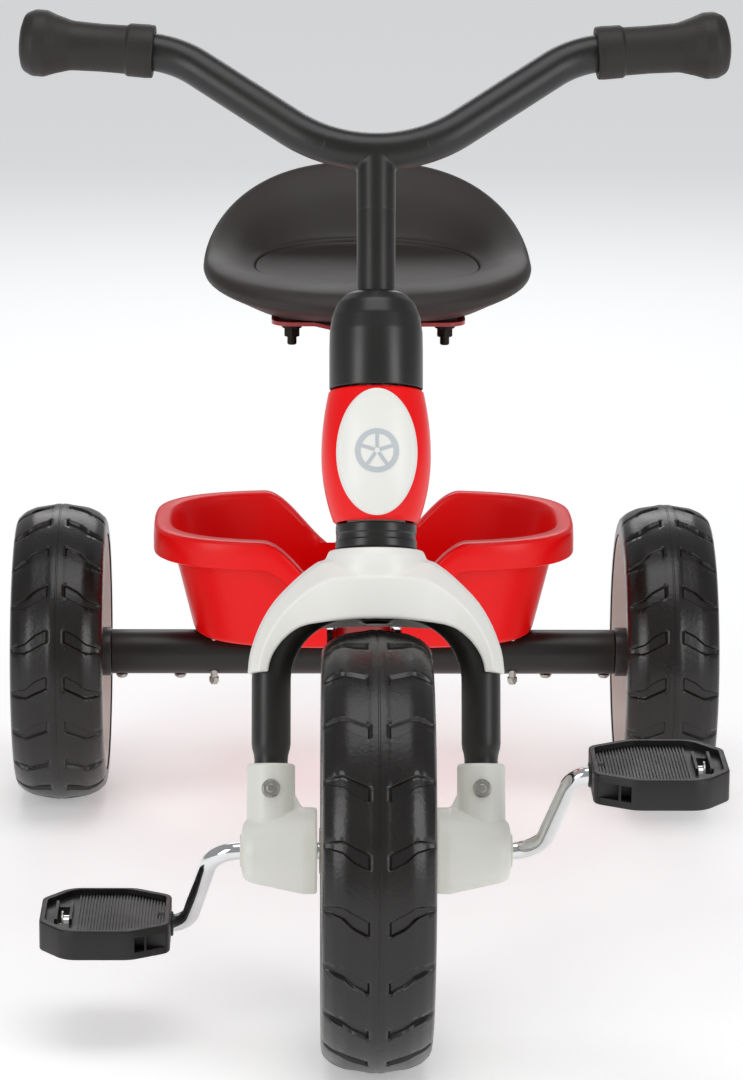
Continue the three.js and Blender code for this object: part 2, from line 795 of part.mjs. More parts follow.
// The clamp ring round the steerer's top, with its ears and screw behind.
const clampBottom = headTubeTop + gap + bushFlange + turnGap;
const clampTop = steererTop - 4;
const clampRadius = 17;
const clampScrewHeight = (clampBottom + clampTop) / 2;
const clampEar = 21; // how far back the ears reach
const clamp = rod(clampRadius, clampBottom, clampTop, roundSides)
  .add(box(14, clampEar - 8, clampTop - clampBottom, 0, (clampEar + 8) / 2, clampScrewHeight))
  .subtract(rod(steererRadius + gap, clampBottom - 1, clampTop + 1, roundSides))
  .subtract(box(2, clampEar, clampTop - clampBottom + 2, 0, clampEar / 2 + 6, clampScrewHeight))
  .subtract(moved(rodX(2 + gap, -10, 10), 0, 18.2, clampScrewHeight));
addPiece(steering, "stem_clamp", clamp, zincSteel);
const clampScrew = moved(rodX(2, -9, 8).add(rodX(3, 7 + gap, 10)), 0, 18.2, clampScrewHeight);
addPiece(steering, "clamp_screw", clampScrew, zincSteel);

// The domed cap over the clamp.
function headCap() {
  const outside = [[capRadius, capBottom], [capRadius, capShoulder]];
  const domeSteps = 4;
  const neck = stemRadius + gap;
  for (let i = 1; i <= domeSteps; i++) {
    const angle = ((Math.PI / 2) * i) / domeSteps;
    outside.push([
      neck + 2 + (capRadius - neck - 2) * Math.cos(angle),
      capShoulder + (capTop - capShoulder) * Math.sin(angle),
    ]);
  }
  const inside = [
    [neck, capTop],
    [neck, capTop - 3],
    [capRadius - capWall - 4, capShoulder + 6],
    [capRadius - capWall, capShoulder - 4],
    [capRadius - capWall, capBottom],
  ];
  return turned([...outside, ...inside]);
}
addPiece(steering, "head_cap", headCap(), blackPlastic);

// The head cover's outline, as [radius, height]: narrow at the bottom, full in the middle.
const bellyHeight = headCoverBottom + 0.51 * (headCoverTop - headCoverBottom);
function coverProfile(inset) {
  const points = [];
  const steps = 6;
  for (let i = 0; i <= steps; i++) {
    const height = headCoverBottom + ((headCoverTop - headCoverBottom) * i) / steps;
    const below = height < bellyHeight;
    const edge = below ? headCoverWaist : headCoverNeck;
    const end = below ? headCoverBottom : headCoverTop;
    const t = (bellyHeight - height) / (bellyHeight - end);
    points.push([headCoverBelly - (headCoverBelly - edge) * t * t - inset, height]);
  }
  return points;
}

const mainTubeStart = Math.tan(rake) * (mainTubeHeight - frontWheelRadius) + 8;
const mainTubeCorners = [
  new THREE.Vector3(0, mainTubeStart, mainTubeHeight),
  new THREE.Vector3(0, mainTubeKnee, mainTubeHeight),
  new THREE.Vector3(0, wheelbase, rearWheelRadius + 4),
];
const mainTubeRoute = new BentRoute(mainTubeCorners, [mainTubeBend], 6);
const headTubeSpace = headToFrame(rod(headTubeRadius + gap, headCoverBottom, headCoverTop, roundSides));
const axleTubeSpace = moved(rodX(axleTubeRadius + gap, -60, 60, roundSides), 0, wheelbase, rearWheelRadius);
const mainTube = bentTube(mainTubeRoute, mainTubeRadius, mainTubeWall)
  .subtract(headTubeSpace)
  .subtract(axleTubeSpace);
addPiece(frame, "main_tube", mainTube, redPaint);

// The cover is two halves that meet on the plane of the steering axis.
const coverShell = turned([...coverProfile(0), ...coverProfile(headCoverWall).reverse()]);
const headCoverMiddle = (headCoverBottom + headCoverTop) / 2;
const halfSpace = (from, to) => box(100, to - from, 200, 0, (from + to) / 2, headCoverMiddle);
const mainTubeHole = bentTube(mainTubeRoute, mainTubeRadius + coverGap, 0);
const coverFront = headToFrame(coverShell.intersect(halfSpace(-60, -gap / 2)));
const coverRear = headToFrame(coverShell.intersect(halfSpace(gap / 2, 60))).subtract(mainTubeHole);
addPiece(frame, "head_cover_front", coverFront, redPlastic);
addPiece(frame, "head_cover_rear", coverRear, redPlastic);

// The oval badge follows the cover's belly.
function badge() {
  const oval = [];
  const steps = 24;
  for (let i = 0; i < steps; i++) {
    const angle = (2 * Math.PI * i) / steps;
    oval.push([(badgeWidth / 2) * Math.cos(angle), (badgeHeight / 2) * Math.sin(angle)]);
  }
  const middle = (headCoverBottom + headCoverTop) / 2;
  const column = profileAlongY(oval, -60, 0).translate([0, 0, middle]);
  const outer = turned([...coverProfile(-badgeThick), ...coverProfile(-gap).reverse()]);
  return outer.intersect(column);
}
addPiece(frame, "badge", headToFrame(badge()), whitePlastic);

// ---- Handlebar, stem and grips ----

const barPlane = new THREE.Group();
barPlane.position.z = barHeight;
barPlane.rotation.x = -barSweep;
steering.add(barPlane);

const shoulderHeight = barRise - barDrop;
const barCorners = [
  new THREE.Vector3(-barWidth / 2, 0, shoulderHeight + gripRise),
  new THREE.Vector3(-barShoulder, 0, shoulderHeight),
  new THREE.Vector3(0, 0, -barDrop),
  new THREE.Vector3(barShoulder, 0, shoulderHeight),
  new THREE.Vector3(barWidth / 2, 0, shoulderHeight + gripRise),
];
// The radius that leaves the bar's middle at height 0.
const barBend = barDrop / (Math.hypot(barShoulder, barRise) / barShoulder - 1);
const gripTilt = Math.atan2(gripRise, barWidth / 2 - barShoulder);
const gripStart = barWidth / 2 - (gripLength - gripEnd - gap) * Math.cos(gripTilt);
const shoulderTurn = Math.atan2(barRise, barShoulder) - gripTilt;
const shoulderBend = (gripStart + bendUnderGrip - barShoulder) / Math.tan(shoulderTurn / 2);
const barRoute = new BentRoute(barCorners, [shoulderBend, barBend, shoulderBend], 5);
addPiece(barPlane, "handlebar", bentTube(barRoute, barRadius, barWall), blackPaint);

const stemBottom = 240;
const stemTop = barHeight - barRadius - 1.5;
addPiece(steering, "stem_tube", ring(stemRadius - stemWall, stemRadius, stemBottom, stemTop), blackPaint);

function grip() {
  const bore = cornerRadius(barRadius + gap, roundSides);
  return turned([
    [bore, 0],
    [gripRadius + 0.6, 0],
    [gripRadius + 0.6, 15],
    [gripRadius - 0.4, 17],
    [gripRadius, gripLength * 0.6],
    [gripFlange * 0.93, gripLength * 0.76],
    [gripFlange, gripLength * 0.85],
    [gripFlange * 0.93, gripLength * 0.95],
    [gripFlange * 0.7, gripLength],
    [0, gripLength],
    [0, gripLength - gripEnd],
    [bore, gripLength - gripEnd],
  ]);
}

for (const { name, sign } of sides) {
  const mesh = addPiece(barPlane, `grip_${name}`, grip(), gripRubber);
  const startHeight = shoulderHeight + (gripStart - barShoulder) * Math.tan(gripTilt);
  mesh.position.set(sign * gripStart, 0, startHeight);
  mesh.rotation.y = sign * (Math.PI / 2 - gripTilt);
}

// ---- Rear axle ----

const axle = new THREE.Group();
axle.position.set(0, wheelbase, rearWheelRadius);
frame.add(axle);

const screwRadius = 2;
const bushScrews = [124, 163.5];
const bucketBoltAhead = rodRadius + bucketBoltRadius + turnGap; // the bolts pass in front of the axle rod
let axleTube = ring(axleTubeRadius - axleTubeWall, axleTubeRadius, -axleTubeHalf, axleTubeHalf)
  .rotate([0, 90, 0]);
for (const { sign } of sides) {
  for (const at of bushScrews) {
    axleTube = axleTube.subtract(rod(screwRadius + gap, -axleTubeRadius - 1, 0).translate([sign * at, 0, 0]));
  }
  const boltHole = rod(bucketBoltRadius + gap, -axleTubeRadius - 1, axleTubeRadius + 1);
  axleTube = axleTube.subtract(moved(boltHole, (sign * bucketBoltSpread) / 2, -bucketBoltAhead, 0));
}
addPiece(axle, "rear_axle_tube", axleTube, blackPaint);
addPiece(axle, "rear_axle_rod", rodX(rodRadius, -rodEnd, rodEnd), zincSteel);

const spigotInner = 117;
for (const { name, sign } of sides) {
  let bush = turned([
    [rodRadius + gap + 0.2, spigotInner],
    [axleTubeRadius - axleTubeWall - gap, spigotInner],
    [axleTubeRadius - axleTubeWall - gap, axleTubeHalf + gap],
    [axleTubeRadius + 1.5, axleTubeHalf + gap],
    [axleTubeRadius + 1.5, collarOuter],
    [rodRadius + gap + 0.2, collarOuter],
  ]).rotate([0, sign * 90, 0]);
  for (const at of bushScrews) {
    bush = bush.subtract(rod(screwRadius + gap, -axleTubeRadius, -6.5).translate([sign * at, 0, 0]));
  }
  addPiece(axle, `axle_bush_${name}`, bush, blackPlastic);
  bushScrews.forEach((at, i) => {
    const screw = turned([
      [0, -axleTubeRadius - 3],
      [2.4, -axleTubeRadius - 2.6],
      [4, -axleTubeRadius - 1.2],
      [4, -axleTubeRadius - gap],
      [screwRadius, -axleTubeRadius - gap],
      [screwRadius, -8],
      [0, -8],
    ], smallSides);
    addPiece(axle, `bush_screw_${name}_${i + 1}`, moved(screw, sign * at, 0, 0), zincSteel);
  });
  const pushCap = turned([
    [rodRadius + gap, wheelMiddle + hubOuter + turnGap],
    [9, wheelMiddle + hubOuter + turnGap],
    [9, wheelMiddle + hubOuter + turnGap + 2],
    [7, rodEnd + 1],
    [0, rodEnd + 1.6],
    [0, rodEnd + gap],
    [rodRadius + gap, rodEnd + gap],
  ], smallSides).rotate([0, sign * 90, 0]);
  addPiece(axle, `axle_cap_${name}`, pushCap, zincSteel);
}

// ---- Bucket: one thin tub with two bins, a turned-down rim and a notch for the main tube ----

const bucketSides = 40;
const bucketMiddle = (bucketFront + bucketBack) / 2;
const notchHalf = mainTubeRadius + 6;
const bucketCorner = 0.62; // how square the plan is

// A point of the bucket's plan at the given angle, with the share of the way from floor to rim.
function bucketPlan(angle, share, inset) {
  const widthHere = THREE.MathUtils.lerp(bucketFloorWidth / 2, bucketWidth / 2 - bucketLip, share);
  const taper = THREE.MathUtils.lerp(12, bucketLip, share);
  const x = (widthHere - inset) * squared(Math.sin(angle), bucketCorner);
  const y = bucketMiddle - ((bucketBack - bucketFront) / 2 - taper - inset) * squared(Math.cos(angle), bucketCorner);
  return { x, y };
}

function dipAt(x) {
  return bucketDip * smooth((bucketDipTop - Math.abs(x)) / (bucketDipTop - bucketDipBottom));
}

function bucketTub() {
  const rings = [
    { share: 0, inset: bucketWall, height: bucketFloor + bucketWall, shrink: 0.3 },
    { share: 0, inset: bucketWall + 4, height: bucketFloor + bucketWall },
    { share: 0.06, inset: bucketWall, height: bucketFloor + bucketWall + 4 },
    { share: 1, inset: bucketWall, height: bucketRim },
    { share: 1, inset: -bucketLip, height: bucketRim },
    { share: 1, inset: -bucketLip, height: bucketRim - bucketSkirt },
    { share: 1, inset: -bucketLip + bucketWall, height: bucketRim - bucketSkirt },
    { share: 1, inset: -bucketLip + bucketWall, height: bucketRim - bucketWall },
    { share: 1, inset: 0, height: bucketRim - bucketWall },
    { share: 0.06, inset: 0, height: bucketFloor + 4 },
    { share: 0, inset: 4, height: bucketFloor },
    { share: 0, inset: 4, height: bucketFloor, shrink: 0.3 },
  ];
  const ringCount = rings.length + 2;
  return shapedShell(ringCount, false, bucketSides, (ringIndex, angle) => {
    if (ringIndex === 0) return { x: 0, y: bucketMiddle, z: bucketFloor + bucketWall };
    if (ringIndex === ringCount - 1) return { x: 0, y: bucketMiddle, z: bucketFloor };
    const { share, inset, height, shrink = 1 } = rings[ringIndex - 1];
    const { x, y } = bucketPlan(angle, share, inset);
    const z = height - (share > 0.5 ? dipAt(x) : 0);
    return { x: x * shrink, y: bucketMiddle + (y - bucketMiddle) * shrink, z };
  });
}

// The notch is an upright channel round the main tube, with a wall of its own.
const notchBack = wheelbase + mainTubeRadius - 2;
function notchPrism(half, back, bottom, top) {
  const front = bucketFront - 20;
  const outline = [
    [-half, front],
    [half, front],
    [half, back - half * 0.5],
    [half * 0.6, back],
    [-half * 0.6, back],
    [-half, back - half * 0.5],
  ];
  return moved(plate(outline, top - bottom), 0, 0, bottom);
}

function bucketEnvelope() {
  return shapedShell(4, false, bucketSides, (ringIndex, angle) => {
    if (ringIndex === 0) return { x: 0, y: bucketMiddle, z: bucketFloor };
    if (ringIndex === 3) return { x: 0, y: bucketMiddle, z: bucketRim - bucketDip - 2 };
    const share = ringIndex === 1 ? 0 : 0.45;
    const { x, y } = bucketPlan(angle, share, ringIndex === 1 ? 4 : 1);
    return { x, y, z: ringIndex === 1 ? bucketFloor : bucketRim - bucketDip - 2 };
  });
}

const notchWall = bucketWall;
let bucket = bucketTub()
  .add(notchPrism(notchHalf + notchWall, notchBack + notchWall, bucketFloor, bucketRim).intersect(bucketEnvelope()))
  .subtract(notchPrism(notchHalf, notchBack, bucketFloor - 10, bucketRim + 10));
for (const { sign } of sides) {
  const hole = rod(bucketBoltRadius + gap, bucketFloor - 5, bucketFloor + 10);
  bucket = bucket.subtract(moved(hole, (sign * bucketBoltSpread) / 2, wheelbase - bucketBoltAhead, 0));
}
addPiece(frame, "bucket", bucket, redPlastic);

const bucketBoltBottom = rearWheelRadius - axleTubeRadius - 6;
for (const { name, sign } of sides) {
  const headBottom = bucketFloor + bucketWall + gap;
  const bolt = turned([
    [0, bucketBoltBottom],
    [bucketBoltRadius, bucketBoltBottom],
    [bucketBoltRadius, headBottom],
    [5, headBottom],
    [4.4, headBottom + 2.4],
    [0, headBottom + 3],
  ], smallSides);
  const place = moved(bolt, (sign * bucketBoltSpread) / 2, wheelbase - bucketBoltAhead, 0);
  addPiece(frame, `bucket_bolt_${name}`, place, zincSteel);
}

// ---- Seat and its bracket ----

const seatMiddle = 437;
const seatSides = 28;

// Each ring of the seat: half width, reach to the front and back of its middle, heights at the side, front and back,
// and how square its plan is.
function seatRings() {
  const half = seatWidth / 2;
  const front = seatMiddle - seatFront;
  const back = seatBack - seatMiddle;
  const backTop = seatHeight + seatBackRise;
  const panHeight = seatHeight - 4;
  const underHalf = half * 0.85;
  const w = seatWall;
  const lower = (ring, by) => ({ ...ring, side: ring.side - by, nose: ring.nose - by, tail: ring.tail - by });
  const pan = { half: half * 0.66, front: front - 42, back: back - 42, side: panHeight, nose: panHeight, tail: seatHeight };
  const panEdge = {
    half: half * 0.7, front: front - 38, back: back - 36, side: panHeight + 2, nose: panHeight + 2, tail: seatHeight + 4,
  };
  const brow = {
    half: half - 8, front: front - 12, back: back - 10, side: seatHeight + 3, nose: seatHeight - 2, tail: backTop - 6,
  };
  const crest = { half: half - 2, front: front - 3, back: back - 2, side: seatHeight + 2, nose: seatHeight - 5, tail: backTop };
  const rim = { half, front, back, side: seatHeight - 3, nose: seatHeight - 9, tail: backTop - 4 };
  const under = {
    half: underHalf, front: front - 15, back: back - 22, side: seatBottom + 4.5, nose: seatBottom + 9, tail: seatBottom + 22,
  };
  const foot = {
    half: seatFootHalf, front: seatFootReach, back: back - 40, side: seatBottom, nose: seatBottom, tail: seatBottom, corner: 0.55,
  };
  const inside = (ring) => ({ ...ring, half: ring.half - w, front: ring.front - w, back: ring.back - w });
  return [
    pan, panEdge, brow, crest, rim, under, foot,
    inside(foot), lower(inside(under), -0.5), inside(rim), lower(inside(brow), w), lower(panEdge, w), lower(pan, w),
  ];
}

function seatShell() {
  const rings = seatRings();
  const ringCount = rings.length + 2;
  return shapedShell(ringCount, false, seatSides, (ringIndex, angle) => {
    if (ringIndex === 0) return { x: 0, y: seatMiddle, z: seatHeight - 4 };
    if (ringIndex === ringCount - 1) return { x: 0, y: seatMiddle, z: seatHeight - 4 - seatWall };
    const r = rings[ringIndex - 1];
    const across = squared(Math.sin(angle), r.corner ?? seatCorner);
    const along = squared(Math.cos(angle), r.corner ?? seatCorner);
    const reach = along > 0 ? r.back : r.front;
    const end = along > 0 ? r.tail : r.nose;
    const share = along > 0 ? Math.abs(along) ** 1.6 : Math.abs(along) ** 2;
    return { x: r.half * across, y: seatMiddle + reach * along, z: r.side + (end - r.side) * share };
  });
}

const seatBolts = [];
for (const { name, sign } of sides) {
  seatBolts.push({ name: `front_${name}`, x: (sign * seatBoltSpread) / 2, y: seatBoltFront });
  seatBolts.push({ name: `rear_${name}`, x: (sign * seatBoltSpread) / 2, y: seatBoltBack });
}

const seatBoltRadius = 3;
const bossTop = seatHeight - 4 - seatWall / 2;
let seat = seatShell();
for (const { x, y } of seatBolts) {
  seat = seat.add(moved(rod(bossRadius, seatBottom, bossTop), x, y, 0));
}
for (const { x, y } of seatBolts) {
  seat = seat.subtract(moved(rod(seatBoltRadius + gap, seatBottom - 1, bossTop - 5), x, y, 0));
}
addPiece(frame, "seat_shell", seat, blackPlastic);

// The bracket is a pressed plate: its wings carry the seat, and its middle lies on the main tube.
const bracketWing = seatBottom - gap; // top of the wings
const bracketMiddle = mainTubeHeight + mainTubeRadius + gap + bracketThick; // top of the middle
const wingStart = 32;
const troughHalf = 16;
const bracketTop = [
  [-bracketWidth / 2, bracketWing],
  [-wingStart, bracketWing],
  [-troughHalf, bracketMiddle],
  [troughHalf, bracketMiddle],
  [wingStart, bracketWing],
  [bracketWidth / 2, bracketWing],
];
const bracketUnder = bracketTop.map(([x, z]) => [x, z - bracketThick]).reverse();
let bracket = profileAlongY([...bracketTop, ...bracketUnder], bracketFront, bracketBack);
for (const { x, y } of seatBolts) {
  bracket = bracket.subtract(moved(rod(seatBoltRadius + gap, bracketMiddle - 20, bracketWing + 1), x, y, 0));
}
const bracketPlan = [
  [-bracketWidth / 2, bracketFront + bracketCorner],
  [-bracketWidth / 2 + bracketCorner, bracketFront],
  [bracketWidth / 2 - bracketCorner, bracketFront],
  [bracketWidth / 2, bracketFront + bracketCorner],
  [bracketWidth / 2, bracketBack],
  [-bracketWidth / 2, bracketBack],
];
bracket = bracket.intersect(moved(plate(bracketPlan, seatHeight), 0, 0, 1));
addPiece(frame, "seat_bracket", bracket, redPaint);

const washerTop = bracketWing - bracketThick - gap;
for (const { name, x, y } of seatBolts) {
  const fastener = turned([
    [0, washerTop - 14],
    [seatBoltRadius, washerTop - 14],
    [seatBoltRadius, washerTop - 9],
    [5.6, washerTop - 8],
    [5.6, washerTop - 1.6],
    [8, washerTop - 1.6],
    [8, washerTop],
    [seatBoltRadius, washerTop],
    [seatBoltRadius, bossTop - 6],
    [0, bossTop - 6],
  ], smallSides);
  addPiece(frame, `seat_bolt_${name}`, moved(fastener, x, y, 0), zincSteel);
}

export default tricycle;
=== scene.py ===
import json
import math

import bmesh
import bpy
import numpy as np
from mathutils import Matrix, Vector


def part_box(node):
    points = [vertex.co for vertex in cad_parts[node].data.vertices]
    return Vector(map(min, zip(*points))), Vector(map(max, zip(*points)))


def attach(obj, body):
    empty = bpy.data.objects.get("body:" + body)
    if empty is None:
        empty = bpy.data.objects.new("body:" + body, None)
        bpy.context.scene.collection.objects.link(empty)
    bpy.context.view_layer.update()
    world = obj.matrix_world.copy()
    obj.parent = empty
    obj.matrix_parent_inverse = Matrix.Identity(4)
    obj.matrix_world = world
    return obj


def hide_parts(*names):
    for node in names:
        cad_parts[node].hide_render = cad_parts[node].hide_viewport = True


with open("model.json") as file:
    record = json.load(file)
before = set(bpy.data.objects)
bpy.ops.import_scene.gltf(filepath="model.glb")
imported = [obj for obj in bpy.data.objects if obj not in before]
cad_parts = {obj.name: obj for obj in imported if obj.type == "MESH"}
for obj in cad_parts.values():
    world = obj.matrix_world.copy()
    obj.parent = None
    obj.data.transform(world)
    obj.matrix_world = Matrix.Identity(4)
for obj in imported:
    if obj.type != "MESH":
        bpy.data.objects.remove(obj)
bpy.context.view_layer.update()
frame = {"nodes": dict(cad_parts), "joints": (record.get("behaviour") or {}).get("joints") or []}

# ---- Where the tricycle's own lines lie ----
# Lengths below are in millimetres, as on the maker's drawings. Three sets of axes are used: one that stands
# on the floor under the front axle, one that runs up the steering head, and one in the plane of the bar.
joints = {joint["name"]: joint for joint in frame["joints"]}
front_axle = Vector(joints["steer"]["pos_m"])
head_line = Vector(joints["steer"]["axis"])
rake = math.atan2(head_line.y, head_line.z)
to_metres = Matrix.Scale(0.001, 4)
on_floor = Matrix.Translation((0, front_axle.y, 0)) @ to_metres
on_front_axle = Matrix.Translation(front_axle) @ to_metres
on_head = Matrix.Translation(front_axle) @ Matrix.Rotation(-rake, 4, "X") @ to_metres
rod_low, rod_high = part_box("rear_axle_rod")
on_rear_axle = Matrix.Translation((rod_low + rod_high) / 2) @ to_metres
sides = (("left", 1), ("right", -1))

# ---- Camera, floor and studio lights ----
# A long lens stands well back and a little above, and looks down at the front wheel.
# Two tall softboxes at the sides and one overhead give the soft bands seen on the tubes and the tyres.
CAMERA_PLACE = Vector((-0.045, -2.66244, 0.90402))
CAMERA_PITCH = math.radians(13.9)
CAMERA_YAW = math.radians(-0.98)
CAMERA_ROLL = math.radians(0.34)
camera = bpy.data.objects.new("camera", bpy.data.cameras.new("camera"))
camera.data.sensor_width = 36
camera.data.lens = 149.4
camera.data.clip_end = 50
bpy.context.scene.collection.objects.link(camera)
turn = Matrix.Rotation(CAMERA_YAW, 4, "Z") @ Matrix.Rotation(math.pi / 2 - CAMERA_PITCH, 4, "X")
camera.matrix_world = Matrix.Translation(CAMERA_PLACE) @ turn @ Matrix.Rotation(CAMERA_ROLL, 4, "Z")
bpy.context.scene.camera = camera
bpy.context.scene.view_settings.view_transform = "Standard"


def linear(hex_colour):
    """The linear RGBA of an sRGB hex colour."""
    parts = [int(hex_colour[i : i + 2], 16) / 255 for i in (1, 3, 5)]
    return [c / 12.92 if c <= 0.04045 else ((c + 0.055) / 1.055) ** 2.4 for c in parts] + [1]


world = bpy.data.worlds.new("studio")
bpy.context.scene.world = world
world.use_nodes = True
world.node_tree.nodes["Background"].inputs["Color"].default_value = linear("#f6f8fb")
world.node_tree.nodes["Background"].inputs["Strength"].default_value = 0.38


def softbox(name, place, aim, width, height, watts):
    light = bpy.data.lights.new(name, "AREA")
    light.shape = "RECTANGLE"
    light.size, light.size_y, light.energy = width, height, watts
    lamp = bpy.data.objects.new(name, light)
    bpy.context.scene.collection.objects.link(lamp)
    lamp.location = place
    lamp.rotation_euler = (Vector(aim) - Vector(place)).to_track_quat("-Z", "Y").to_euler()


softbox("softbox_left", (-1.5, -1.5, 0.9), (0, -0.1, 0.28), 0.7, 1.3, 11)
softbox("softbox_right", (1.5, -1.5, 0.9), (0, -0.1, 0.28), 0.7, 1.3, 11)
softbox("softbox_top", (0, -0.3, 2.2), (0, 0, 0.2), 1.6, 1.2, 13)
softbox("softbox_back", (0, 2.2, 1.4), (0, 0.2, 0.3), 1.6, 0.9, 10)

floor_mesh = bpy.data.meshes.new("floor")
floor_shape = bmesh.new()
bmesh.ops.create_grid(floor_shape, x_segments=1, y_segments=1, size=8)
floor_shape.to_mesh(floor_mesh)
floor_shape.free()
floor = bpy.data.objects.new("floor", floor_mesh)
bpy.context.scene.collection.objects.link(floor)
paper = bpy.data.materials.new("studio_paper")
paper.use_nodes = True
paper.node_tree.nodes["Principled BSDF"].inputs["Base Color"].default_value = linear("#fafafa")
paper.node_tree.nodes["Principled BSDF"].inputs["Roughness"].default_value = 0.9
paper.node_tree.nodes["Principled BSDF"].inputs["Emission Color"].default_value = linear("#ffffff")
paper.node_tree.nodes["Principled BSDF"].inputs["Emission Strength"].default_value = 0.3
floor_mesh.materials.append(paper)


# ---- Tyres ----
# EVA foam, moulded in one piece and stretched over the rim: a faint seam round the crown,
# stepped grooves in pairs on both sides of it, and a skin with a soft sheen where the mould was polished.
def add_node(tree, kind, settings, links):
    """A node with its settings, and its inputs fed from (node, output) pairs or set to plain values."""
    made = tree.nodes.new(kind)
    for key, value in settings.items():
        setattr(made, key, value)
    for key, value in links.items():
        if isinstance(value, tuple) and isinstance(value[0], bpy.types.Node):
            tree.links.new(value[0].outputs[value[1]], made.inputs[key])
        else:
            made.inputs[key].default_value = value
    return made


def finish(
    name, dark, light, rough, grain, depth, blotch=40, metallic=0, stretch=(1, 1, 1), cells=0, **sockets,
):
    """A finish whose colour drifts between two close shades over `blotch` mm, whose roughness drifts with it,
    and whose skin has a grain of `grain` mm across and `depth` mm deep; `cells` mm adds a crystal or pebble
    pattern."""
    made = bpy.data.materials.new(name)
    made.use_nodes = True
    tree = made.node_tree
    shader = tree.nodes["Principled BSDF"]
    where = add_node(tree, "ShaderNodeTexCoord", {}, {})
    place = add_node(tree, "ShaderNodeMapping", {}, {"Vector": (where, "Object"), "Scale": stretch})
    cloud = add_node(
        tree, "ShaderNodeTexNoise", {},
        {"Vector": (place, "Vector"), "Scale": 1000 / blotch, "Detail": 6, "Roughness": 0.6},
    )
    shade = add_node(
        tree, "ShaderNodeMix", {"data_type": "RGBA"}, {0: (cloud, "Fac"), 6: linear(dark), 7: linear(light)}
    )
    tree.links.new(shade.outputs[2], shader.inputs["Base Color"])
    drift = add_node(
        tree,
        "ShaderNodeMapRange",
        {},
        {"Value": (cloud, "Fac"), "From Min": 0.3, "From Max": 0.7, "To Min": rough[0], "To Max": rough[1]},
    )
    tree.links.new(drift.outputs[0], shader.inputs["Roughness"])
    skin = add_node(
        tree, "ShaderNodeTexNoise", {}, {"Vector": (place, "Vector"), "Scale": 1000 / grain, "Detail": 3}
    )
    height = (skin, "Fac")
    if cells:
        crystals = add_node(
            tree, "ShaderNodeTexVoronoi", {}, {"Vector": (place, "Vector"), "Scale": 1000 / cells},
        )
        mixed = add_node(
            tree, "ShaderNodeMath", {"operation": "ADD"}, {0: (skin, "Fac"), 1: (crystals, "Distance")}
        )
        height = (mixed, 0)
    bump = add_node(tree, "ShaderNodeBump", {}, {"Height": height, "Distance": depth / 1000, "Strength": 1})
    tree.links.new(bump.outputs[0], shader.inputs["Normal"])
    shader.inputs["Metallic"].default_value = metallic
    for socket, value in sockets.items():
        shader.inputs[socket.replace("_", " ")].default_value = value
    return made


tyre_foam = finish(
    "eva_foam_moulded", "#0d0a08", "#17120f", (0.24, 0.34), grain=1.2, depth=0.05, blotch=22, cells=2.6,
    IOR=1.5,
)


def lofted(rings, closed=False):
    """A skin over rings that have the same number of points.

    Its two ends are filled, or joined to each other if the loft is closed.
    """
    made = bmesh.new()
    spot = made.verts.layers.int.new("spot")
    ring = [made.verts.new(p) for p in rings[0]]
    for number, vert in enumerate(ring):
        vert[spot] = number
    edges = [made.edges.new((ring[i - 1], ring[i])) for i in range(len(ring))]
    for points in rings[1:] + ([rings[0]] if closed else []):
        grown = bmesh.ops.extrude_edge_only(made, edges=edges)["geom"]
        edges = [e for e in grown if isinstance(e, bmesh.types.BMEdge)]
        for vert in grown:
            if isinstance(vert, bmesh.types.BMVert):
                vert.co = points[vert[spot]]
    bmesh.ops.remove_doubles(made, verts=made.verts, dist=1e-4)
    bmesh.ops.holes_fill(made, edges=[e for e in made.edges if e.is_boundary])
    return made


def piece(name, shape, material, body, nodes, place, sharp=38):
    """The finished piece: seams merged, faces outwards, smooth but for edges sharper than `sharp` degrees."""
    bmesh.ops.remove_doubles(shape, verts=shape.verts, dist=1e-4)
    bmesh.ops.dissolve_degenerate(shape, edges=shape.edges, dist=1e-4)
    bmesh.ops.recalc_face_normals(shape, faces=shape.faces)
    for face in shape.faces:
        face.smooth = True
    for edge in shape.edges:
        edge.smooth = edge.calc_face_angle(0) < math.radians(sharp)
    mesh = bpy.data.meshes.new(name)
    shape.transform(place)
    shape.to_mesh(mesh)
    shape.free()
    mesh.materials.append(material)
    made = bpy.data.objects.new(name, mesh)
    bpy.context.scene.collection.objects.link(made)
    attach(made, body)
    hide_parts(*nodes)
    return made


# The grooves come in pairs. Each starts square beside the seam, steps out like a lightning bolt and fades at
# the shoulder. Its line is given as (out from the seam, along the tread), then half its width on the way out.
GROOVE_LINE = [(0, -5), (6.4, -5), (14, -1), (20, 3.5), (27.5, 4.5), (40, 4.5)]
GROOVE_HALF = [(0, 3.6), (6.4, 3.6), (14, 3.6), (20, 2.6), (27.5, 1.3), (40, 1.3)]
GROOVE_DEPTH = 2.2
GROOVE_WALL = 1.3
SEAM = 0.3
LAND_LINES = 9


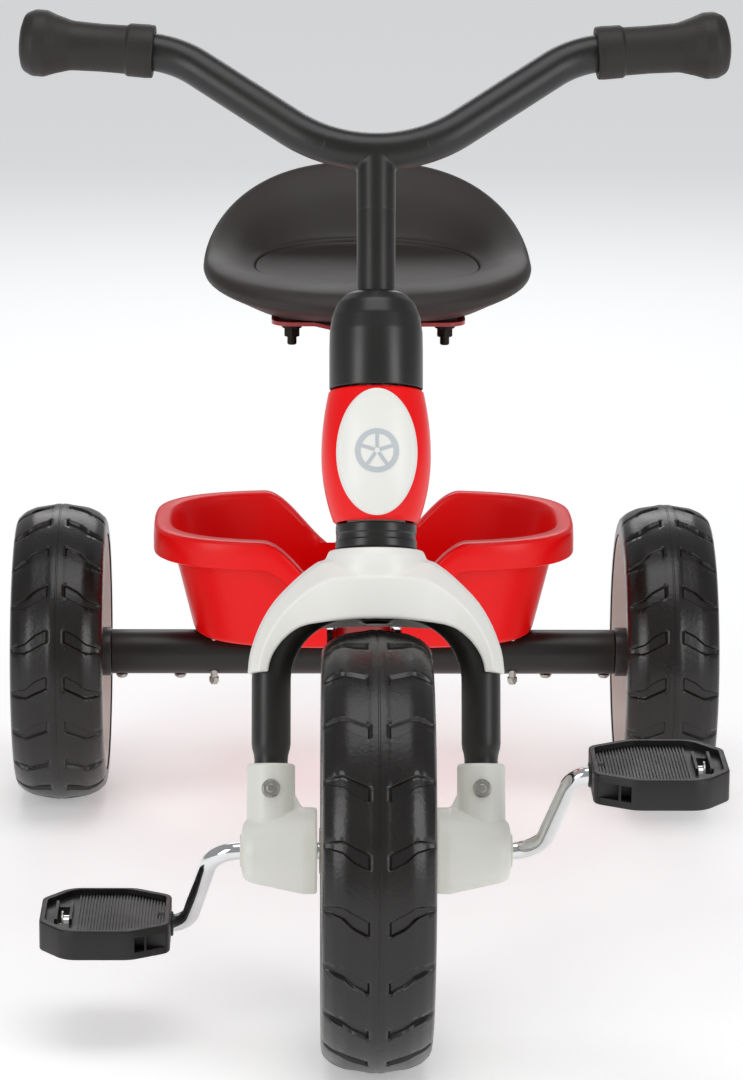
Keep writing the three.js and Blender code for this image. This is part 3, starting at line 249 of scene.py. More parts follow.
def tyre(radius, width, rim_radius, grooves, leaning):
    """The tread's mesh lines follow the grooves' edges, so every groove keeps a clean wall."""
    half = width / 2
    tread = [
        (0, radius - SEAM), (0.35, radius - SEAM), (0.7, radius), (1.5, radius), (3, radius),
        (4.6, radius - 0.3),
    ]
    tread += [(5.4, radius - 0.5), (6.4, radius - 0.7)]
    bend_x = [6.4, 0.58 * half, 0.82 * half, 0.95 * half]
    bend_r = [radius - 0.7, radius - 2.4, radius - 5.6, radius - 9.5]
    steps = np.arange(7.6, 0.95 * half, 1.2)
    slope = np.interp(steps, bend_x, bend_r)
    for _ in range(3):
        slope[1:-1] = (slope[:-2] + 2 * slope[1:-1] + slope[2:]) / 4
    tread += list(zip(steps, slope))
    tread += [
        (0.95 * half, radius - 9.5), (0.985 * half, radius - 12), (half, radius - 15),
        (half, radius - 20),
    ]
    tread += [(0.995 * half, rim_radius + 3), (0.985 * half, rim_radius + 1), (0.97 * half, rim_radius + 0.3)]
    section = [(-x, r) for x, r in reversed(tread[1:])] + tread
    across = np.array([x for x, r in section])
    height = np.array([r for x, r in section])
    side = np.abs(across)
    line = np.interp(side, *zip(*GROOVE_LINE))
    cut_half = np.interp(side, *zip(*GROOVE_HALF))
    inner_end = np.clip((side - 5.0) / GROOVE_WALL, 0, 1)
    outer_end = np.clip((0.99 * half - side) / 4, 0, 1)
    deep = GROOVE_DEPTH * inner_end * outer_end * (height > radius - 14)
    pitch = 2 * math.pi * radius / grooves
    lines = [
        (1, GROOVE_WALL, 0), (1, 0.75 * GROOVE_WALL, 0.12), (1, 0.25 * GROOVE_WALL, 0.88), (1, 0, 1),
        (0.5, 0, 1),
    ]
    lines = [(-c, -w, d) for c, w, d in lines] + [(0, 0, 1)] + [(c, w, d) for c, w, d in reversed(lines)]
    rings = []
    for groove in range(grooves):
        start = groove * pitch
        spots = [(start + line + c * cut_half + w, deep * d) for c, w, d in lines]
        first, last = spots[-1][0], start + pitch + line - cut_half - GROOVE_WALL
        spots += [(first + (last - first) * k / (LAND_LINES + 1), deep * 0) for k in range(1, LAND_LINES + 1)]
        for along, cut in spots:
            angles = leaning * along / radius
            ring = []
            for x, reach, angle in zip(across, height - cut, angles):
                ring.append(Vector((x, -reach * math.cos(angle), reach * math.sin(angle))))
            rings.append(ring)
    return lofted(rings, closed=True)


piece(
    "front_tyre_foam",
    tyre(125, 62.5, 99, grooves=21, leaning=1),
    tyre_foam, "front_wheel", ["front_tyre"], on_front_axle,
)
for name, sign in sides:
    low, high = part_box(f"rear_tyre_{name}")
    piece(
        f"rear_tyre_{name}_foam",
        tyre(100, 61, 82, grooves=20, leaning=-1),
        tyre_foam, f"rear_wheel_{name}", [f"rear_tyre_{name}"],
        Matrix.Translation((low + high) / 2) @ to_metres,
    )

# ---- Rims and wheel caps ----
# White polypropylene rims, injection moulded with a dished web, pressed-in pockets between the spokes,
# and a boss that a red snap-in cap closes. The moulding leaves a fine even satin.
white_plastic = finish(
    "polypropylene_white", "#dddbd5", "#e9e7e1", (0.34, 0.44), grain=1.4, depth=0.02, blotch=60, IOR=1.5
)
red_plastic = finish(
    "polypropylene_red", "#ee0004", "#ff0408", (0.28, 0.38), grain=1.8, depth=0.03, blotch=70,
    IOR=1.5, Specular_IOR_Level=0.32,
)


def filleted(corners, steps=5, closed=True):
    """An outline whose corners, given as (x, y, radius), are rounded off."""
    outline = []
    for i, (x, y, radius) in enumerate(corners):
        at_end = not closed and i in (0, len(corners) - 1)
        if radius == 0 or at_end:
            outline.append((x, y))
            continue
        here = Vector((x, y))
        back = Vector(corners[i - 1][:2]) - here
        on = Vector(corners[(i + 1) % len(corners)][:2]) - here
        half = back.angle(on) / 2
        reach = min(radius / math.tan(half), 0.49 * back.length, 0.49 * on.length)
        middle = here + (back.normalized() + on.normalized()).normalized() * reach / math.cos(half)
        start = here + back.normalized() * reach - middle
        end = here + on.normalized() * reach - middle
        first = math.atan2(start.y, start.x)
        swing = (math.atan2(end.y, end.x) - first + math.pi) % (2 * math.pi) - math.pi
        for k in range(steps + 1):
            angle = first + swing * k / steps
            outline.append(
                (middle.x + start.length * math.cos(angle), middle.y + start.length * math.sin(angle))
            )
    return outline


def turned(corners, steps=96, line="Z", fillet_steps=5):
    """A piece turned about its own line from (radius, along, corner radius).

    It closes on the axis if it starts and ends there, and otherwise on itself.
    """
    on_axis = corners[0][0] == 0 and corners[-1][0] == 0
    outline = filleted(corners, fillet_steps, closed=not on_axis)
    made = bmesh.new()
    verts = [made.verts.new((r, 0, along)) for r, along in outline]
    edges = [made.edges.new(pair) for pair in zip(verts, verts[1:])]
    if not on_axis:
        edges.append(made.edges.new((verts[-1], verts[0])))
    bmesh.ops.spin(
        made, geom=verts + edges, cent=(0, 0, 0), axis=(0, 0, 1), angle=2 * math.pi, steps=steps,
        use_merge=True,
    )
    bmesh.ops.remove_doubles(made, verts=made.verts, dist=1e-4)
    if line != "Z":
        lay = Matrix.Rotation(math.pi / 2, 4, "Y") if line == "X" else Matrix.Rotation(-math.pi / 2, 4, "X")
        made.transform(lay)
    return made


SPOKES = 6


def rim(radius, width, hub_inner, hub_outer, hub_radius, web_at, boss):
    """The rim about X with its outer face towards +X; pockets between the spokes are pressed into the web."""
    half = 0.97 * width / 2
    reaches = [boss + 2 + (radius - 5 - boss - 2) * k / 24 for k in range(25)]
    web_out = [(r, web_at, 0) for r in reversed(reaches)]
    web_in = [(r, web_at - 4, 0) for r in reaches if r > hub_radius + 6]
    corners = [
        (5.4, -hub_inner, 0.5), (hub_radius, -hub_inner, 1.5), (hub_radius, web_at - 4, 4), *web_in,
        (radius - 3, web_at - 4, 3), (radius - 3, -half, 1), (radius, -half, 1), (radius, half, 1),
        (radius - 3, half, 1), (radius - 3, web_at, 3), *web_out, (boss, web_at, 2), (boss, hub_outer, 1),
        (5.4, hub_outer, 0.5),
    ]
    made = turned(corners, steps=216, line="X", fillet_steps=3)
    for vert in made.verts:
        reach = math.hypot(vert.co.y, vert.co.z)
        on_web = web_at - 4.5 < vert.co.x < web_at + 0.5 and boss + 3 < reach < radius - 6
        if on_web:
            share = (reach - boss - 3) / (radius - 9 - boss)
            between = 0.5 + 0.5 * math.cos(SPOKES * math.atan2(vert.co.z, vert.co.y))
            press = min(1, 2.4 * between) * min(1, 5 * math.sin(math.pi * min(max(share, 0), 1)))
            vert.co.x -= 3.5 * press * press * (3 - 2 * press)
    return made


def cap(base, depth):
    crown = base + depth
    return turned(
        [(0, crown - 3, 0), (11, crown - 3, 1), (11, base, 0.5), (31, base, 0.6), (31, base + 2.5, 1.5),
         (24.8, base + depth * 0.72, 8), (14, base + depth * 0.97, 6), (0, crown, 0)], line="X",
    )


for name, sign in sides:
    low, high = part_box(f"rear_tyre_{name}")
    facing = Matrix.Rotation(0 if sign > 0 else math.pi, 4, "Z")
    place = Matrix.Translation((low + high) / 2) @ to_metres @ facing
    piece(
        f"rear_rim_{name}_moulded", rim(82, 61, 23.6, 13, 17, 4, 31),
        white_plastic, f"rear_wheel_{name}", [f"rear_rim_{name}"], place,
    )
    piece(
        f"wheel_cap_{name}_moulded", cap(13.3, 14),
        red_plastic, f"rear_wheel_{name}", [f"wheel_cap_{name}"], place,
    )
piece(
    "front_rim_moulded", rim(99, 62.5, 30, 30, 20, 2, 20.5),
    white_plastic, "front_wheel", ["front_rim"], on_front_axle,
)

# ---- Crank and pedals ----
# One steel rod, bent cold to a Z at each side and chromed. The pedals are black nylon, moulded as an
# eight-sided tray on both faces, with fine ribs for the sole and a window over the spindle's end and clip.
chrome = finish(
    "chrome_plated_steel", "#c9cacb", "#f2f2f2", (0.06, 0.14), grain=3, depth=0.004, blotch=30, metallic=1
)
black_nylon = finish(
    "nylon_black_moulded", "#0d0c0b", "#161413", (0.42, 0.56), grain=0.9, depth=0.035, blotch=30, IOR=1.5
)
dark_steel = finish(
    "black_oxide_steel", "#1d1b19", "#35322f", (0.28, 0.42), grain=1.5, depth=0.01, blotch=5, metallic=1,
    cells=1.8,
)
zinc = finish(
    "zinc_plated_steel", "#9a9892", "#cfcdc6", (0.24, 0.4), grain=1.5, depth=0.01, blotch=6, metallic=1,
    cells=1.6,
)


def bent(corners, bends, steps=12):
    """The middle line of a rod or tube through its corners, each bent to its own radius."""
    corners = [Vector(c) for c in corners]
    path = [corners[0]]
    for before, here, after, radius in zip(corners, corners[1:], corners[2:], bends):
        arriving, leaving = (here - before).normalized(), (after - here).normalized()
        angle = arriving.angle(leaving)
        start = here - arriving * radius * math.tan(angle / 2)
        inward = (leaving - arriving * arriving.dot(leaving)).normalized()
        for k in range(steps + 1):
            at = angle * k / steps
            path.append(start + arriving * radius * math.sin(at) + inward * radius * (1 - math.cos(at)))
    return path + [corners[-1]]


def tube(path, radius, around=40):
    """A round skin along a line; radius is one number, or a function of the point."""
    ways = [(b - a).normalized() for a, b in zip(path, path[1:])]
    ways = [ways[0]] + [(a + b).normalized() for a, b in zip(ways, ways[1:])] + [ways[-1]]
    across = ways[0].orthogonal().normalized()
    rings = []
    for point, way in zip(path, ways):
        across = (across - way * across.dot(way)).normalized()
        up = way.cross(across)
        r = radius(point) if callable(radius) else radius
        turns = [2 * math.pi * k / around for k in range(around)]
        rings.append([point + (across * math.cos(t) + up * math.sin(t)) * r for t in turns])
    return lofted(rings)


def split(path, longest):
    """The same line with extra points, so that no step is longer than `longest`."""
    made = [path[0]]
    for a, b in zip(path, path[1:]):
        parts = max(1, math.ceil((b - a).length / longest))
        made += [a.lerp(b, k / parts) for k in range(1, parts + 1)]
    return made


spindle = {}
for name, sign in sides:
    spindle[name] = (Vector(joints[f"pedal_{name}_spin"]["pos_m"]) - front_axle) * 1000
arm = Vector((0, spindle["left"].y, spindle["left"].z))
SPINDLE_END = 180
CRANK_HUB = 92
CRANK_OUTER = 108
crank_line = bent(
    [(-SPINDLE_END, -arm.y, -arm.z), (-CRANK_OUTER, -arm.y, -arm.z), (-CRANK_HUB, 0, 0),
     (CRANK_HUB, 0, 0), (CRANK_OUTER, arm.y, arm.z), (SPINDLE_END, arm.y, arm.z)],
    [15, 20, 20, 15],
)
piece(
    "crank_chromed", tube(crank_line, 5, 32), chrome, "front_wheel", ["crank"],
    on_front_axle,
)


def prism(outline, bottom, top):
    made = bmesh.new()
    base = made.faces.new([made.verts.new((x, y, bottom)) for x, y in outline])
    grown = bmesh.ops.extrude_face_region(made, geom=[base])["geom"]
    lifted = [v for v in grown if isinstance(v, bmesh.types.BMVert)]
    bmesh.ops.translate(made, verts=lifted, vec=(0, 0, top - bottom))
    bmesh.ops.recalc_face_normals(made, faces=made.faces)
    return made


def together(*parts):
    """Several shapes in one, without joining their skins."""
    made = bmesh.new()
    for part in parts:
        carrier = bpy.data.meshes.new("carrier")
        part.to_mesh(carrier)
        part.free()
        made.from_mesh(carrier)
        bpy.data.meshes.remove(carrier)
    return made


def worked(shape, *steps):
    """The shape after modifiers, each given as (kind, settings)."""
    mesh = bpy.data.meshes.new("work")
    bmesh.ops.recalc_face_normals(shape, faces=shape.faces)
    shape.to_mesh(mesh)
    shape.free()
    bench = bpy.data.objects.new("work", mesh)
    bpy.context.scene.collection.objects.link(bench)
    for kind, settings in steps:
        modifier = bench.modifiers.new(kind, kind)
        for key, value in settings.items():
            setattr(modifier, key, value)
    result = bpy.data.meshes.new_from_object(bench.evaluated_get(bpy.context.evaluated_depsgraph_get()))
    made = bmesh.new()
    made.from_mesh(result)
    bpy.data.objects.remove(bench)
    return made


def carved(shape, tool, operation="DIFFERENCE"):
    """The shape with a tool's space cut from it, added to it, or kept from it."""
    mesh = bpy.data.meshes.new("tool")
    bmesh.ops.recalc_face_normals(tool, faces=tool.faces)
    tool.to_mesh(mesh)
    tool.free()
    cutter = bpy.data.objects.new("tool", mesh)
    bpy.context.scene.collection.objects.link(cutter)
    made = worked(shape, ("BOOLEAN", {"object": cutter, "operation": operation, "solver": "MANIFOLD"}))
    bpy.data.objects.remove(cutter)
    return made


def block(width, depth, height, x, y, z):
    made = bmesh.new()
    bmesh.ops.create_cube(made, size=1)
    bmesh.ops.scale(made, verts=made.verts, vec=(width, depth, height))
    bmesh.ops.translate(made, verts=made.verts, vec=(x, y, z))
    return made


def pedal_outline(inset):
    """The pedal's plan, less an inset: wide towards the crank, with long chamfers at its free end."""
    length, depth = 37.5 - inset, 40 - inset
    soft = 9 - inset
    return filleted(
        [(length, -depth + 19, soft), (length, depth - 19, soft), (length - 15, depth, soft + 6),
         (-length + 22, depth, soft + 8), (-length, depth - 13, soft - 1), (-length, -depth + 13, soft - 1),
         (-length + 22, -depth, soft + 8), (length - 15, -depth, soft + 6)],
        steps=6,
    )


PEDAL_HALF = 8.75
PEDAL_PLATE = 5  # half the ribbed plate's thickness
RIB_PITCH = 1.8
SLOT_MIDDLE = 24


def pedal():
    tray = prism(pedal_outline(0), -PEDAL_HALF, PEDAL_HALF)
    rim_edges = []
    for edge in tray.edges:
        low, high = sorted(vert.co.z for vert in edge.verts)
        if high - low < 0.01 and abs(abs(edge.verts[0].co.z) - PEDAL_HALF) < 0.01:
            rim_edges.append(edge)
    bmesh.ops.bevel(
        tray, geom=rim_edges, offset=1, offset_type="OFFSET", affect="EDGES", segments=3, profile=0.5,
        material=-1,
    )
    for face in (1, -1):
        well = prism(pedal_outline(3), min(face * PEDAL_PLATE, face * 20), max(face * PEDAL_PLATE, face * 20))
        tray = carved(tray, well)
    for face in (1, -1):
        for width, middle in ((11, -30), (5.5, -20.5)):
            tray = carved(tray, block(width, 24, 8.8, middle, face * 40, 0))
    tray = carved(tray, block(7, 30, 20, SLOT_MIDDLE, 0, 0))
    boss = turned([(0, -39, 0), (7.2, -39, 1), (7.2, -30, 1), (0, -30, 0)], 40, "X")
    bars = [block(1.6, 33, 4, SLOT_MIDDLE + way * 4.2, 0, face * 6.5) for way in (-1, 1) for face in (1, -1)]
    ribs = []
    for k in range(28):
        x = -33 + RIB_PITCH * k
        reach = 36 - max(0, -21 - x) * 1.2
        if x < SLOT_MIDDLE - 7:
            ribs += [block(0.9, 2 * reach, 2.2, x, 0, face * PEDAL_PLATE) for face in (1, -1)]
    return together(tray, boss, *bars, *ribs)


for name, sign in sides:
    facing = Matrix.Rotation(0 if sign > 0 else math.pi, 4, "Z")
    place = on_front_axle @ Matrix.Translation(spindle[name]) @ facing
    piece(
        f"pedal_{name}_moulded", pedal(), black_nylon, f"pedal_{name}_body",
        [f"pedal_{name}"], place,
    )
    clip = turned([(5.2, 24.4, 0.1), (7.4, 24.4, 0.3), (7.4, 25.6, 0.3), (5.2, 25.6, 0.1)], 40, "X", 2)
    piece(
        f"pedal_clip_{name}_pressed", clip, zinc, "front_wheel", [f"pedal_clip_{name}"],
        place,
    )

# ---- Fork ----
# One steel tube bent to a U over the front wheel, its legs swaged narrower where they enter the housings.
# It has a black powder coat with the faint orange peel that such a coat always shows.
black_paint = finish(
    "powder_coat_black", "#11100e", "#191714", (0.32, 0.42), grain=2.2, depth=0.05, blotch=50, IOR=1.5
)
LEG = 59.5
CROWN = 142
SWAGE_TOP = 60
SWAGE_BOTTOM = 52


def leg_radius(point):
    share = min(max((SWAGE_TOP - point.z) / (SWAGE_TOP - SWAGE_BOTTOM), 0), 1)
    return 11.1 - 1.6 * share * share * (3 - 2 * share)


fork_line = split(bent([(-LEG, 0, 16), (-LEG, 0, CROWN), (LEG, 0, CROWN), (LEG, 0, 16)], [46, 46], 24), 3)
piece(
    "fork_tube_painted", tube(fork_line, leg_radius, 48), black_paint, "steering",
    ["fork_tube"], on_head,
)
crown_bolt = turned(
    [
        (0, 128.3, 0), (6, 128.3, 1), (9.5, 129.6, 1), (9.5, 131, 0.3), (4, 131, 0.2), (4, 175, 1),
        (0, 175, 0),
    ],
    48,
)
piece("crown_bolt_turned", crown_bolt, black_paint, "steering", ["crown_bolt"], on_head)

# ---- Fork cover ----
# A white ABS moulding that hides the fork's crown: a bridge with a soft ridge between its bright top and its
# flat front, which runs into a round collar under the head. It is blended here as one skin, as moulded.
white_abs = finish(
    "abs_white_moulded", "#e9e8e2", "#f3f2ed", (0.3, 0.38), grain=1.6, depth=0.015, blotch=80, IOR=1.53,
)
BRIDGE_OUTER = [
    (73, 100), (72.3, 108), (70.6, 116), (65.6, 129), (58, 141.5), (46.5, 153.6), (37, 161.5), (30, 165),
]
BRIDGE_INNER = [
    (61, 100.5), (60.6, 104), (58.6, 110), (53.5, 117.5), (46, 123.8), (39, 126.4), (30, 127.6),
    (22, 128.2),
]
BRIDGE_REACH = [15.5, 15.8, 16.2, 17.2, 19, 22, 24.6, 27]
BRIDGE_RIDGE = [0.55, 0.55, 0.53, 0.5, 0.46, 0.42, 0.39, 0.37]


def smooth_line(knots, count):
    """Points at even shares along knots, on a curve that passes through them."""
    places = np.linspace(0, len(knots) - 1, count)
    made = []
    for at in places:
        i = min(int(at), len(knots) - 2)
        t = at - i
        k = [np.array(knots[min(max(j, 0), len(knots) - 1)], float) for j in (i - 1, i, i + 1, i + 2)]
        made.append(
            0.5 * (2 * k[1] + (k[2] - k[0]) * t + (2 * k[0] - 5 * k[1] + 4 * k[2] - k[3]) * t**2
                   + (3 * k[1] - k[0] - 3 * k[2] + k[3]) * t**3)
        )
    return made


def bridge(start=0, wall=0):
    """The arch, or the hollow in it: `start` shifts the section inwards and `wall` thins its reach."""
    knots = [(*o, *i, r, c) for o, i, r, c in zip(BRIDGE_OUTER, BRIDGE_INNER, BRIDGE_REACH, BRIDGE_RIDGE)]
    knots += [(15, 166, 12, 128.8, 29.5, 0.37), (0, 166, 0, 129, 30, 0.37)]
    half = smooth_line(knots, 60)
    mirrored = [np.array([-s[0], s[1], -s[2], *s[3:]]) for s in half[:-1]]
    rings = []
    for ox, oz, ix, iz, reach, ridge in half + mirrored[::-1]:
        front = filleted(
            [
                (0, 0, 0), (ridge * 0.25, 0.6, 0.1), (ridge, 1, 0.035), (0.97, 0.95, 0.03),
                (1, 0.85, 0.02), (1, 0, 0),
            ],
            4, closed=False,
        )
        back = [(share, -depth) for share, depth in front[1:-1]][::-1]
        ring = []
        for share, depth in front + back:
            x = ox + (ix - ox) * (start + share)
            z = oz + (iz - oz) * (start + share)
            ring.append(Vector((x, -depth * (reach - wall), z)))
        rings.append(ring)
    return lofted(rings)


cover_collar = turned(
    [(0, 150, 0), (29, 150, 0), (29.4, 160, 3), (28.6, 166, 4), (26.8, 170, 0.8), (0, 170, 0)], 96
)
cover = worked(
    together(bridge(), cover_collar), ("REMESH", {"mode": "VOXEL", "voxel_size": 0.8}),
    ("SMOOTH", {"iterations": 4}),
)
cover = carved(cover, bridge(start=0.3, wall=2.6))
cover = carved(cover, turned([(0, 110, 0), (14, 110, 0), (14, 152, 0), (0, 152, 0)], 48))
piece("fork_cover_moulded", cover, white_abs, "steering", ["fork_cover"], on_head, sharp=70)

# ---- Axle housings ----
# White nylon mouldings, one on each leg: a socket clamped by a cross bolt, and a hollow cone that carries the
# crank's bush. The bolt has a hex nut sunk in front and a plain head behind, both zinc plated.
white_nylon = finish(
    "nylon_white_moulded", "#dadad2", "#e6e6e0", (0.34, 0.44), grain=1.3, depth=0.02, blotch=50, IOR=1.53,
)
nylon = finish("nylon_natural", "#d6d2c4", "#e6e2d6", (0.4, 0.5), grain=1, depth=0.02, blotch=20, IOR=1.53)
BOLT_HEIGHT = 34.5


def housing():
    cone = turned(
        [
            (0, 33.4, 0), (24.4, 33.4, 1.5), (24.6, 41, 8), (18.4, 70, 6), (16, 75, 4), (10.6, 76, 2),
            (0, 76, 0),
        ],
        96, "X",
    )
    cone.transform(Matrix.Rotation(rake, 4, "X"))
    socket = turned([(0, 0, 0), (13.7, 0, 1), (13.7, 49, 1.6), (0, 49, 0)], 64)
    socket.transform(Matrix.Translation((LEG, 0, 0)))
    web = prism([(40, 0), (40, 22), (43, 26), (46.5, 33), (48, 40), (60, 40), (60, 0)], -5.5, 5.5)
    web.transform(Matrix.Rotation(math.pi / 2, 4, "X"))
    made = worked(
        together(cone, socket, web),
        ("REMESH", {"mode": "VOXEL", "voxel_size": 0.62}),
        ("SMOOTH", {"factor": 0.5, "iterations": 6}),
    )
    for way in (-1, 1):
        recess = turned([(0, 0, 0), (5.3, 0, 0), (5.3, 12, 0), (0, 12, 0)], 40, "Y")
        recess.transform(Matrix.Translation((LEG, 12.1 if way > 0 else -24.1, BOLT_HEIGHT)))
        made = carved(made, recess)
    return made


def hexagon(across_flats):
    reach = across_flats / 2 / math.cos(math.pi / 6)
    return [
        (reach * math.cos(math.pi / 6 + k * math.pi / 3), reach * math.sin(math.pi / 6 + k * math.pi / 3))
        for k in range(6)
    ]


def nut(across_flats, bottom, top):
    """A hex nut: the prism, and the chamfer that rounds its corners."""
    made = prism(hexagon(across_flats), bottom, top)
    reach = across_flats / 2
    dome = turned(
        [(0, bottom, 0), (reach * 1.02, bottom, 0), (reach * 1.18, bottom + 1, 0), (reach * 1.18, top - 1, 0),
         (reach * 1.02, top, 0), (0, top, 0)], 48,
    )
    return carved(made, dome, "INTERSECT")


for name, sign in sides:
    shape = housing()
    if sign < 0:
        shape.transform(Matrix.Scale(-1, 4, (1, 0, 0)))
    piece(
        f"axle_housing_{name}_moulded", shape, white_nylon, "steering",
        [f"axle_housing_{name}"], on_head, sharp=50,
    )
    bush = turned(
        [
            (5.1, 58, 0.3), (8, 58, 0.5), (8, 75.7, 0.2), (9.4, 75.7, 0.2), (9.4, 76.9, 0.5),
            (5.1, 76.9, 0.5),
        ],
        64, "X",
    )
    if sign < 0:
        bush.transform(Matrix.Scale(-1, 4, (1, 0, 0)))
    piece(f"crank_bush_{name}_moulded", bush, nylon, "steering", [f"crank_bush_{name}"], on_head)
    shank = turned([(0, -17, 0), (2.5, -17, 0.6), (2.5, 15, 0.3), (0, 15, 0)], 32)
    head = turned([(0, 12.3, 0), (4.8, 12.3, 0.3), (4.8, 14.2, 1.4), (0, 15.4, 0)], 48)
    bolt = together(nut(8.2, -16, -12.3), shank, head)
    bolt.transform(Matrix.Translation((sign * LEG, 0, BOLT_HEIGHT)) @ Matrix.Rotation(-math.pi / 2, 4, "X"))
    piece(
        f"housing_bolt_{name}_plated", bolt, zinc, "steering", [f"housing_bolt_{name}"],
        on_head, sharp=25,
    )

# ---- Steering head ----
# Two red half shells snap together round the head tube; a white oval badge is clipped to the front one.
# Below is a black collar on the steerer, and above a domed cap hides the stem's clamp.
black_plastic = finish(
    "polypropylene_black", "#171615", "#211f1d", (0.28, 0.36), grain=1.5, depth=0.02, blotch=60, IOR=1.5,
)
seat_plastic = finish(
    "polypropylene_seat", "#1e1815", "#29211d", (0.5, 0.6), grain=1.1, depth=0.04, blotch=80, IOR=1.5,
)
collar = turned(
    [
        (13, 171, 0.3), (23.2, 171, 0.8), (23.2, 175.5, 0.3), (22.4, 176.2, 0.3), (22.4, 179.2, 0.3),
        (23, 180, 0.3), (23, 185, 0.8), (13, 185, 0.3),
    ],
    96,
)
piece("lower_collar_moulded", collar, black_plastic, "steering", ["lower_collar"], on_head)
head_cap = turned(
    [
        (11.6, 318, 0.4), (11.6, 319, 0.6), (13.6, 319.2, 1), (17.5, 317.6, 6), (22.2, 312.5, 8),
        (25.2, 305, 9), (26.6, 296, 14), (26.8, 286, 10), (26.8, 262.9, 0.9), (24.3, 262.9, 0.4),
        (24.3, 292, 6), (20, 306, 6), (13, 314, 2),
    ],
    128,
)
piece(
    "head_cap_moulded", head_cap, black_plastic, "steering", ["head_cap"], on_head,
    sharp=50,
)

COVER_LOW, COVER_HIGH, COVER_WIDEST = 186, 262, 224.8


def cover_radius(height):
    """Radius of the head cover's barrel at a height along the head."""
    edge = 24.2 if height < COVER_WIDEST else 27
    end = COVER_LOW if height < COVER_WIDEST else COVER_HIGH
    share = (COVER_WIDEST - height) / (COVER_WIDEST - end)
    return 31.3 - (31.3 - edge) * share**2


def head_cover(facing):
    """One half of the barrel, rolled in at its top and bottom, with a clean edge where the halves meet."""
    heights = [COVER_LOW + 1 + (COVER_HIGH - COVER_LOW - 2) * k / 30 for k in range(31)]
    outside = [(cover_radius(h), h, 0) for h in heights]
    inside = [(cover_radius(h) - 2.5, h, 0) for h in reversed(heights)]
    shape = turned(
        [
            (cover_radius(COVER_LOW) - 1, COVER_LOW, 0), *outside,
            (cover_radius(COVER_HIGH) - 1, COVER_HIGH, 0), *inside,
        ],
        144,
    )
    bmesh.ops.bisect_plane(
        shape, geom=shape.verts[:] + shape.edges[:] + shape.faces[:], dist=1e-4,
        plane_co=(0, 0.15 * facing, 0), plane_no=(0, -facing, 0), clear_outer=True,
    )
    bmesh.ops.holes_fill(shape, edges=[e for e in shape.edges if e.is_boundary])
    return shape


front_half = head_cover(-1)
piece(
    "head_cover_front_moulded", front_half, red_plastic, "frame", ["head_cover_front"],
    on_head,
)

BADGE_MIDDLE = 224
BADGE_WIDTH, BADGE_HEIGHT = 23, 36


def on_cover(x, height, lift):
    radius = cover_radius(height) + lift
    return Vector((x, -math.sqrt(max(radius * radius - x * x, 0)), height))


def badge_part(wide, high, lifts):
    """An oval dished plate on the barrel, as rings from the middle outwards: (share of its size, lift)."""
    around = 96
    rings = []
    for share, lift in lifts:
        ring = []
        for k in range(around):
            angle = 2 * math.pi * k / around
            x, up = wide * share * math.cos(angle), high * share * math.sin(angle)
            ring.append(on_cover(x, BADGE_MIDDLE + up, lift))
        rings.append(ring)
    return lofted(rings)


badge = badge_part(
    BADGE_WIDTH, BADGE_HEIGHT,
    [
        (0.02, 0.3), (0.3, 0.3), (0.6, 0.3), (0.9, 0.3), (0.985, 0.3), (1, 0.5), (1, 1.5), (0.985, 1.9),
        (0.96, 2), (0.92, 2), (0.905, 1.7), (0.89, 1.7), (0.6, 1.7), (0.3, 1.7), (0.02, 1.7),
    ],
)
piece("badge_moulded", badge, white_abs, "frame", ["badge"], on_head)
# The plain emblem on it is a small wheel, pad-printed in grey: a ring with five spokes.
grey_ink = finish(
    "pad_print_grey", "#b9c0c4", "#c6ccd0", (0.4, 0.5), grain=0.8, depth=0.01, blotch=15, IOR=1.5,
)


def emblem():
    around = 72
    rings = []
    for radius, lift in ((9.5, 1.72), (9.5, 1.82), (12.5, 1.82), (12.5, 1.72)):
        ring = []
        for k in range(around):
            angle = 2 * math.pi * k / around
            ring.append(on_cover(radius * math.cos(angle), BADGE_MIDDLE + radius * math.sin(angle), lift))
        rings.append(ring)
    parts = [lofted(rings, closed=True)]
    for spoke in range(5):
        angle = math.pi / 2 + 2 * math.pi * spoke / 5
        way, across = Vector((math.cos(angle), math.sin(angle))), Vector((-math.sin(angle), math.cos(angle)))
        rings = []
        for along in np.linspace(1.5, 9.8, 8):
            corners = []
            for shift, lift in ((-1, 1.72), (1, 1.72), (1, 1.8), (-1, 1.8)):
                at = way * along + across * shift
                corners.append(on_cover(at.x, BADGE_MIDDLE + at.y, lift))
            rings.append(corners)
        parts.append(lofted(rings))
    return together(*parts)


printed = emblem()
bmesh.ops.remove_doubles(printed, verts=printed.verts, dist=1e-4)
piece("badge_print", printed, grey_ink, "frame", [], on_head)

# ---- Main tube ----
# A 38 mm steel tube bent once behind the seat and coped over the rear axle tube; the ends are MIG welded and
# everything is painted red after welding, with a clear gloss over it.
red_paint = finish(
    "red_enamel_paint", "#94060b", "#ab0a10", (0.18, 0.28), grain=2.4, depth=0.03, blotch=60,
    IOR=1.5, Coat_Weight=0.5, Coat_Roughness=0.08,
)
TUBE_HEIGHT, TUBE_KNEE, TUBE_BEND, TUBE_RADIUS = 331, 430, 70, 19
REAR_AXLE_BACK = 517
tube_start = math.tan(rake) * (TUBE_HEIGHT - 125) + 12
tube_line = split(
    bent(
        [(0, tube_start, TUBE_HEIGHT), (0, TUBE_KNEE, TUBE_HEIGHT), (0, REAR_AXLE_BACK, 104)],
        [TUBE_BEND], 28,
    ),
    8,
)
main_tube = tube(tube_line, TUBE_RADIUS, 64)
axle_space = turned([(0, -60, 0), (15.2, -60, 0), (15.2, 60, 0), (0, 60, 0)], 64, "X")
axle_space.transform(Matrix.Translation((0, REAR_AXLE_BACK, 100)))
main_tube = carved(main_tube, axle_space)


